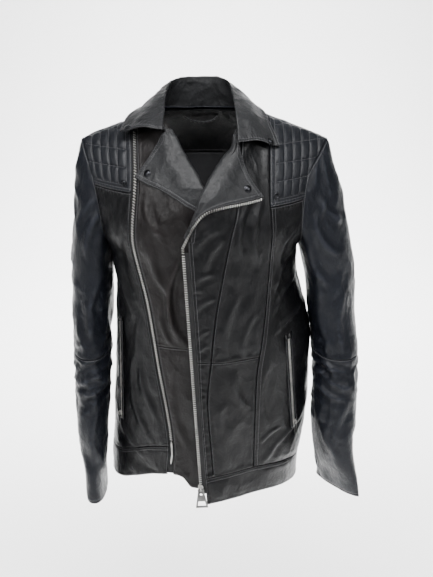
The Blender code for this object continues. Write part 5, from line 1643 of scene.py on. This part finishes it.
def welt(name, bottom, top, out, surface_point, mat, body, reach):
    """Raised leather lips on both sides of a straight zip, from the panel's surface up to the teeth."""
    axis = (top - bottom).normalized()
    length = (top - bottom).length
    across = axis.cross(out).normalized()
    marks = np.linspace(-0.008, length + 0.008, int(length / 0.003) + 8)
    profile = [(-reach, -0.0020, 1.0), *WELT_LIP]
    profile = profile + [(-a, h, w) for a, h, w in reversed(profile[:-1])]
    rows = []
    for mark in marks:
        outside = smooth(np.array(max(-mark, mark - length, 0.0) / 0.008))
        line = []
        for a, h, on_panel in profile:
            base = bottom + axis * mark + across * a
            ground = Vector(surface_point(base))
            share = on_panel + (1.0 - on_panel) * float(outside)
            raised = base + out * h
            line.append(raised.lerp(ground + out * (h * 0.5 + 0.0002), share))
        rows.append([tuple(v) for v in line])
    grid = np.array(rows)
    grid = np.swapaxes(line_at(np.swapaxes(grid, 0, 1), np.linspace(0, 1, 76)), 0, 1)
    n = grid_normals(grid)
    if (n @ np.array(out)).sum() < 0:
        n = -n
    grid = grid + n * (0.00035 * noise(grid / 0.006, 301) + 0.0004 * noise(grid / 0.02, 302))[..., None]
    obj = shell(name, grid, n, FACING_LEATHER, wear=np.full(grid.shape[:2], 0.35))
    mend(obj.data)
    paint(obj, mat, "black_leather")
    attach(obj, body)
    for column in (12, 63):
        sew(body, grid[3:-3, column], n[3:-3, column])
    return obj


def small_zip(stem, body, facing_y, ground, mat, below, reach, length, window_end):
    """Closed zip with its welt, slider and puller, where its joints put them. Gives ends, axis and out."""
    slide, hinge = joints[stem + "_zip_slide"], joints[stem + "_puller_hinge"]
    axis = Vector(slide["axis"]).normalized()
    out = axis.cross(Vector(hinge["axis"]).normalized()).normalized()
    if out.y * facing_y < 0.0:
        out.negate()
    low = Vector(hinge["pos_m"]) - out * BRIDGE_HEIGHT
    high = low + axis * (slide["range_m"][1] + 0.004)
    interlocked(stem + "_teeth", low - axis * 0.010, high + axis * 0.004, out, body, stem + "_zip_chain")
    welt(stem + "_welt", low - axis * below, high + axis * 0.006, out, ground, mat, body, reach)
    place = zip_frame(low, axis, out)
    make_slider(stem + "_slider", place, 0.0080, 0.0094, stem + "_zip_slider", stem + "_zip_slider")
    window = tapered_loop(0.0019, -0.0078, 0.0021, window_end, 0.0006)
    make_puller(stem + "_puller", place, 0.0064, 0.0070, length, (window,), stem + "_zip_puller",
                stem + "_zip_puller")
    return low, high, axis, out


def make_pockets():
    for side, sign, top, bottom in POCKETS:
        depth, mat = (left_front, SHADED_LOWER_LEATHER) if sign > 0 else (front_y, BODY_LEATHER)

        def ground(p, depth=depth):
            return p.x, float(depth(p.x, p.z)), p.z
        low, high, axis, out = small_zip(side + "_pocket", "jacket_body", -1.0, ground, mat, 0.012, 0.0125,
                                         0.0270, -0.0248)
        for name, end in (("_pocket_low_stop", low - axis * 0.0115),
                          ("_pocket_top_stop", high + axis * 0.0050)):
            stop = template(box_points(0.0050, 0.0022, 0.0024), 0.0006)
            stamp(side + name, stop, [np.array(zip_frame(end, axis, out))], NICKEL, "nickel", "jacket_body")
        bag = []
        for k in range(30):
            z = top[1] + 0.005 + (bottom[1] - 0.020 - top[1]) * k / 29.0
            x = np.interp(z, (bottom[1], top[1]), (bottom[0], top[0])) - sign * 0.085 * np.linspace(0, 1, 30)
            bag.append(np.stack([x, front_y(x, np.full_like(x, z), 0.0036), np.full_like(x, z)], -1))
        grid = np.array(bag)
        n = grid_normals(grid)
        n = n * np.sign(n[..., 1].mean())
        grid = grid + n * (0.0004 * noise(grid / 0.02, 7))[..., None]
        obj = shell(side + "_pocket_bag_cloth", grid, n, CLOTH)
        mend(obj.data)
        paint(obj, LINING_CLOTH, "black_cloth")
        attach(obj, "jacket_body")
        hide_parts(side + "_pocket_bag")


# ---------------------------------------------------------------- sleeves

class Sleeve(Panel):
    """A tube of leather closed around the arm; top and bottom are its edges."""

    def __init__(self, place, around, rows_at):
        a = np.linspace(0.0, 2.0 * np.pi, around, endpoint=False)
        s, a = np.meshgrid(rows_at, a, indexing="ij")
        self.angle = a
        self.flat = self.points = place(s, a)
        self.d_top = travelled(self.flat)
        self.d_bottom = self.d_top[-1:] - self.d_top
        self.normals = grid_normals(self.flat, cyclic=True)
        middle = self.flat.mean(1, keepdims=True)
        self.flipped = float((self.normals * (self.flat - middle)).sum()) < 0
        if self.flipped:
            self.normals = -self.normals


def sleeve_tracks(table):
    rows = sorted(table)
    return [track([(r[0], r[k]) for r in rows]) for k in range(1, 6)]


def sleeve_point(tracks, sign, angle, z, inset=0.0):
    """Outside of a sleeve: angle 0 is outermost, 90 the front, 180 innermost, 270 the back."""
    cx, cy, wide, deep, turn = (t(z) for t in tracks)
    c, s = np.cos(angle), np.sin(angle)
    x = (wide - inset) * np.sign(c) * np.abs(c) ** 0.9
    y = -(deep - inset) * np.sign(s) * np.abs(s) ** 0.9
    turn = np.radians(turn)
    return np.stack([cx + sign * (x * np.cos(turn) - y * np.sin(turn)),
                     cy + x * np.sin(turn) * -0.35 + y * np.cos(turn), np.asarray(z) + 0.0 * x], -1)


def armhole_point(sign, angle, gap):
    z = SHOULDER_Z + (ARMPIT_Z - SHOULDER_Z) * (1.0 - np.cos(angle)) / 2.0
    front = np.sin(angle) >= 0.0
    front_x = (left_armhole if sign > 0 else right_armhole)(z)
    back_x = sign * back_armhole(z)
    x = np.where(front, front_x, back_x)
    y = np.where(front, front_y(front_x, z), back_y(back_x, z))
    return np.stack([x + sign * gap, y, z + gap * np.cos(angle) * 0.5], -1)


def upper_place(tracks, sign, low_z, inset):
    def place(s, a):
        start = armhole_point(sign, a, 0.0016)
        top = start[..., 2]
        z = top + (low_z - top) * s
        point = sleeve_point(tracks, sign, a, z, inset)
        shift = start - sleeve_point(tracks, sign, a, top, inset)
        if inset:
            centre = np.stack([start[..., 0], 0.0 * a, 0.0 * a + (SHOULDER_Z + ARMPIT_Z) / 2.0], -1)
            shift = shift + unit(centre - start) * inset * 2.2
            shift = shift + np.array([sign * 0.0015, 0.0, 0.0])
        return point + shift * ((1.0 - s) ** 3)[..., None]
    return place


def lower_place(tracks, sign, top, low, inset):
    return lambda s, a: sleeve_point(tracks, sign, a, top + (low - top) * s, inset)


# Folds seen on the sleeves: start and end (x, z), width and height.
SLEEVE_CREASES = {
    "left": (((0.192, -0.175), (0.236, -0.245), 0.0075, 0.0042),
             ((0.186, -0.215), (0.222, -0.300), 0.0070, 0.0036),
             ((0.200, -0.140), (0.250, -0.190), 0.0070, 0.0030),
             ((0.212, -0.300), (0.232, -0.420), 0.0080, 0.0030),
             ((0.262, -0.300), (0.255, -0.430), 0.0070, 0.0024),
             ((0.206, -0.438), (0.262, -0.470), 0.0060, 0.0034),
             ((0.210, -0.470), (0.270, -0.500), 0.0055, 0.0030),
             ((0.212, -0.505), (0.262, -0.520), 0.0050, 0.0026),
             ((0.224, -0.530), (0.246, -0.640), 0.0070, 0.0026),
             ((0.262, -0.540), (0.255, -0.660), 0.0065, 0.0022)),
    "right": (((-0.184, -0.165), (-0.212, -0.250), 0.0075, 0.0034),
              ((-0.200, -0.150), (-0.228, -0.215), 0.0065, 0.0026),
              ((-0.190, -0.290), (-0.206, -0.420), 0.0075, 0.0028),
              ((-0.232, -0.300), (-0.222, -0.430), 0.0070, 0.0022),
              ((-0.186, -0.440), (-0.236, -0.462), 0.0055, 0.0028),
              ((-0.188, -0.478), (-0.240, -0.500), 0.0055, 0.0028),
              ((-0.190, -0.510), (-0.232, -0.520), 0.0045, 0.0022),
              ((-0.200, -0.540), (-0.212, -0.650), 0.0065, 0.0022),
              ((-0.232, -0.560), (-0.226, -0.680), 0.0060, 0.0020)),
}


def sleeve_folds(side, centre_y):
    def folds(p):
        lump = 0.0036 * noise(p / np.array([0.08, 0.08, 0.13]), 403)
        mid = 0.0044 * crumple(p, 0.046, 421, (1.0, 1.0, 1.6)) * smooth(0.65 + 1.2 * noise(p / 0.09, 408))
        elbow = np.exp(-((p[..., 2] + 0.475) / 0.065) ** 2)
        rings = 0.0048 * crumple(p, 0.032, 441, (1.8, 1.8, 0.8)) * elbow
        fine = 0.0010 * crumple(p, 0.017, 431) * smooth(0.4 + 1.3 * noise(p / 0.06, 409))
        placed = sum(crease(p, *fold) for fold in SLEEVE_CREASES[side])
        front = smooth((centre_y + 0.01 - p[..., 1]) / 0.03)
        return lump + mid + rings + fine + 1.3 * placed * front
    return folds


def make_sleeves():
    for side, sign in SIDES:
        tracks = sleeve_tracks(SLEEVE_TABLES[side])
        upper, lower = side + "_upper_sleeve", side + "_forearm_sleeve"
        start, end = (tuple(Vector((sign * x, y, z))) for x, y, z in SHOULDER_BLEND)
        shoulder = ("jacket_body", upper, start, end)
        middle = float(tracks[0](ELBOW_Z))
        elbow = (upper, lower, (middle, ELBOW_Y, ELBOW_Z), (middle, ELBOW_Y, ELBOW_BLEND_END_Z))
        rows = spread(np.array([SLEEVE_LENGTH]), SLEEVE_STEP)[0]
        piece = Sleeve(upper_place(tracks, sign, ELBOW_Z, 0.0), SLEEVE_AROUND, rows)
        seam = {"top": ("seam", (NEAR_STITCH,)), "bottom": ("seam", ())}
        sleeve_shell(upper, piece, seam, sleeve_folds(side, -0.01), shoulder, LIT_SLEEVE_LEATHER)
        outside = lower_place(tracks, sign, ELBOW_Z - 2 * HALF_SEAM, CUFF_Z[side], 0.0)
        piece = Sleeve(outside, SLEEVE_AROUND, rows)
        seam = {"top": ("seam", (NEAR_STITCH,)), "bottom": ("free", (FAR_STITCH,))}
        sleeve_shell(lower, piece, seam, sleeve_folds(side, -0.05), elbow, LIT_SLEEVE_LEATHER)
        rows = np.linspace(0.0, 1.0, LINING_ROWS)
        piece = Sleeve(upper_place(tracks, sign, ELBOW_Z + 0.001, 0.0070), LINING_AROUND, rows)
        sleeve_shell(upper + "_lining", piece, {}, None, shoulder, LINING_CLOTH)
        inside = lower_place(tracks, sign, ELBOW_Z - 0.006, CUFF_Z[side] + 0.018, 0.0052)
        piece = Sleeve(inside, LINING_AROUND, rows)
        sleeve_shell(side + "_forearm_lining", piece, {}, None, elbow, LINING_CLOTH)


def sleeve_shell(node, piece, seam, folds, joint, mat):
    """Displaces, closes and paints one part of a sleeve; joint is (body, body, start, end) and only groups
    the stitches.
    """
    p = piece.flat
    height = folds(p) if folds else 0.0008 * noise(p / np.array([0.02, 0.02, 0.05]), 17)
    hold = np.ones(p.shape[:2])
    relief = np.zeros(p.shape[:2])
    for edge, (kind, rows) in seam.items():
        d = piece.distance(edge)
        hold = hold * (0.2 + 0.8 * smooth(d / 0.014))
        relief = relief + edge_profile(d, kind)
        relief = relief + 0.0007 * noise(p / 0.0080, 71) * np.exp(-((d - 0.006) / 0.007) ** 2)
        for index in rows:
            relief = relief + stitch_profile(d, EDGE_LINES[index])
    if folds:
        for turn in SLEEVE_SEAMS:
            away = np.abs((piece.angle - math.radians(turn) + np.pi) % (2 * np.pi) - np.pi) * 0.055
            relief = relief - 0.0010 * np.exp(-(away / 0.0016) ** 2)
            relief = relief + 0.0003 * np.exp(-((away - 0.005) / 0.003) ** 2)
    total = height * hold + relief
    piece.points = p + piece.normals * total[..., None]
    for edge, (kind, rows) in seam.items():
        if kind == "seam":
            turn_under(piece.points, piece.normals, edge)
    n = grid_normals(piece.points, cyclic=True)
    if (n * piece.normals).sum() < 0:
        n = -n
    piece.normals = n
    wear = np.clip(0.28 + (total - blur(total, 4)) / 0.0011, 0.0, 1.0)
    ending, thickness, slot = "_cloth", CLOTH, "black_cloth"
    if folds:
        ending, thickness, slot = "_hide", LEATHER, "black_leather"
    obj = shell(node + ending, piece.points, n, thickness, cyclic=True, wear=wear)
    mend(obj.data)
    paint(obj, mat, slot)
    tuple(joint[2])
    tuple(joint[3])
    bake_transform(obj)
    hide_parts(node)
    for edge, (kind, rows) in seam.items():
        for index in rows:
            row = index if edge == "top" else -1 - index
            line, up = piece.points[row], piece.normals[row]
            sew(joint, np.concatenate([line, line[:1]]), np.concatenate([up, up[:1]]))


def make_cuff_zips():
    a = np.linspace(0.0, 2.0 * np.pi, 721)
    for side, sign in SIDES:
        tracks = sleeve_tracks(SLEEVE_TABLES[side])

        def ground(p, tracks=tracks, sign=sign, cuff_z=CUFF_Z[side]):
            ring = sleeve_point(tracks, sign, a, np.full_like(a, max(p.z, cuff_z + 0.001)))
            return ring[np.argmin((ring[:, 0] - p.x) ** 2 + (ring[:, 1] - p.y) ** 2)]
        small_zip(side + "_cuff", side + "_forearm_sleeve", 1.0, ground, LIT_SLEEVE_LEATHER, 0.006, 0.0110,
                  0.0240, -0.0216)


def make_stitches():
    """Every seam's thread, one mesh for each body or pair of bodies; sleeve and lapel stitches stay
    unattached.
    """
    ends = ((-0.00125, 0.00020), (-0.0008, 0.00040), (0.0008, 0.00040), (0.00125, 0.00020))
    rim = ((1.0, 0.0), (-1.0, 0.0), (0.0, 1.0), (0.0, -1.0), (0.7, 0.7), (-0.7, 0.7))
    shape = template([(r * x, y, r * z) for y, r in ends for x, z in rim])
    for group, places in seams.items():
        if isinstance(group, tuple):
            obj = stamp(group[1] + "_stitches", shape, places, THREAD, "black_cloth", None)
            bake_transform(obj)
        elif group in bend:
            obj = stamp(group + "_stitches", shape, places, THREAD, "black_cloth", None)
            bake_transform(obj)
        else:
            stamp(group + "_stitches", shape, places, THREAD, "black_cloth", group)


# ---------------------------------------------------------------- camera and light

def area(name, at, target, size, power):
    """Rectangular light at a place, turned to a target."""
    light = bpy.data.lights.new(name, "AREA")
    light.shape = "RECTANGLE"
    light.size, light.size_y = size
    light.energy = power
    obj = bpy.data.objects.new(name, light)
    obj.location = at
    obj.rotation_euler = (Vector(target) - Vector(at)).to_track_quat("-Z", "Y").to_euler()
    scene.collection.objects.link(obj)
    return obj


def make_studio():
    lens = bpy.data.cameras.new("camera")
    lens.sensor_width = CAMERA_SENSOR
    lens.sensor_fit = "AUTO"
    lens.lens = CAMERA_LENS
    camera = bpy.data.objects.new("camera", lens)
    camera.location = CAMERA_AT
    camera.rotation_euler = (math.radians(90.0 - CAMERA_PITCH), 0.0, 0.0)
    scene.collection.objects.link(camera)
    scene.camera = camera
    world = bpy.data.worlds.new("studio")
    world.use_nodes = True
    background = world.node_tree.nodes["Background"]
    background.inputs["Color"].default_value = (1.0, 1.0, 1.0, 1.0)
    background.inputs["Strength"].default_value = WORLD_STRENGTH
    scene.world = world
    n = Nodes("studio_floor")
    tone = n.noise(n.where(), 3.0, 2.0)
    n.feed(n.shader.inputs["Base Color"], n.ramp(tone, ((0.0, 0.92), (1.0, 0.95))))
    n.shader.inputs["Roughness"].default_value = 0.9
    # Floor that curves up into a wall: (y, z) from front to back.
    curve = [(SWEEP_FRONT_Y, FLOOR_Z), (SWEEP_START_Y, FLOOR_Z)]
    for k in range(1, 17):
        a = k * math.pi / 32
        rise = SWEEP_RADIUS * (1.0 - math.cos(a))
        curve.append((SWEEP_START_Y + SWEEP_RADIUS * math.sin(a), FLOOR_Z + rise))
    curve.append((SWEEP_START_Y + SWEEP_RADIUS, SWEEP_TOP_Z))
    points = [(x, y, z) for y, z in curve for x in (-SWEEP_HALF_WIDTH, SWEEP_HALF_WIDTH)]
    faces = [(2 * k, 2 * k + 1, 2 * k + 3, 2 * k + 2) for k in range(len(curve) - 1)]
    sweep = mesh_object("sweep", points, faces)
    sweep.data.materials.append(n.mat)
    # The light from behind falls on the sweep alone, so that it leaves no haze on the leather.
    backdrop = area(*BACKDROP_LIGHT)
    backdrop.data.spread = math.radians(BACKDROP_SPREAD)
    lit = bpy.data.collections.new("backdrop_only")
    lit.objects.link(sweep)
    backdrop.light_linking.receiver_collection = lit
    for light in LIGHTS:
        area(*light)


make_body()
make_linings()
lapel_panels = make_lapels()
collar_panel = make_collar()
make_snaps(lapel_panels, collar_panel, yokes)
make_main_zip(lapel_panels)
make_pockets()
make_sleeves()
make_cuff_zips()
make_stitches()
make_studio()
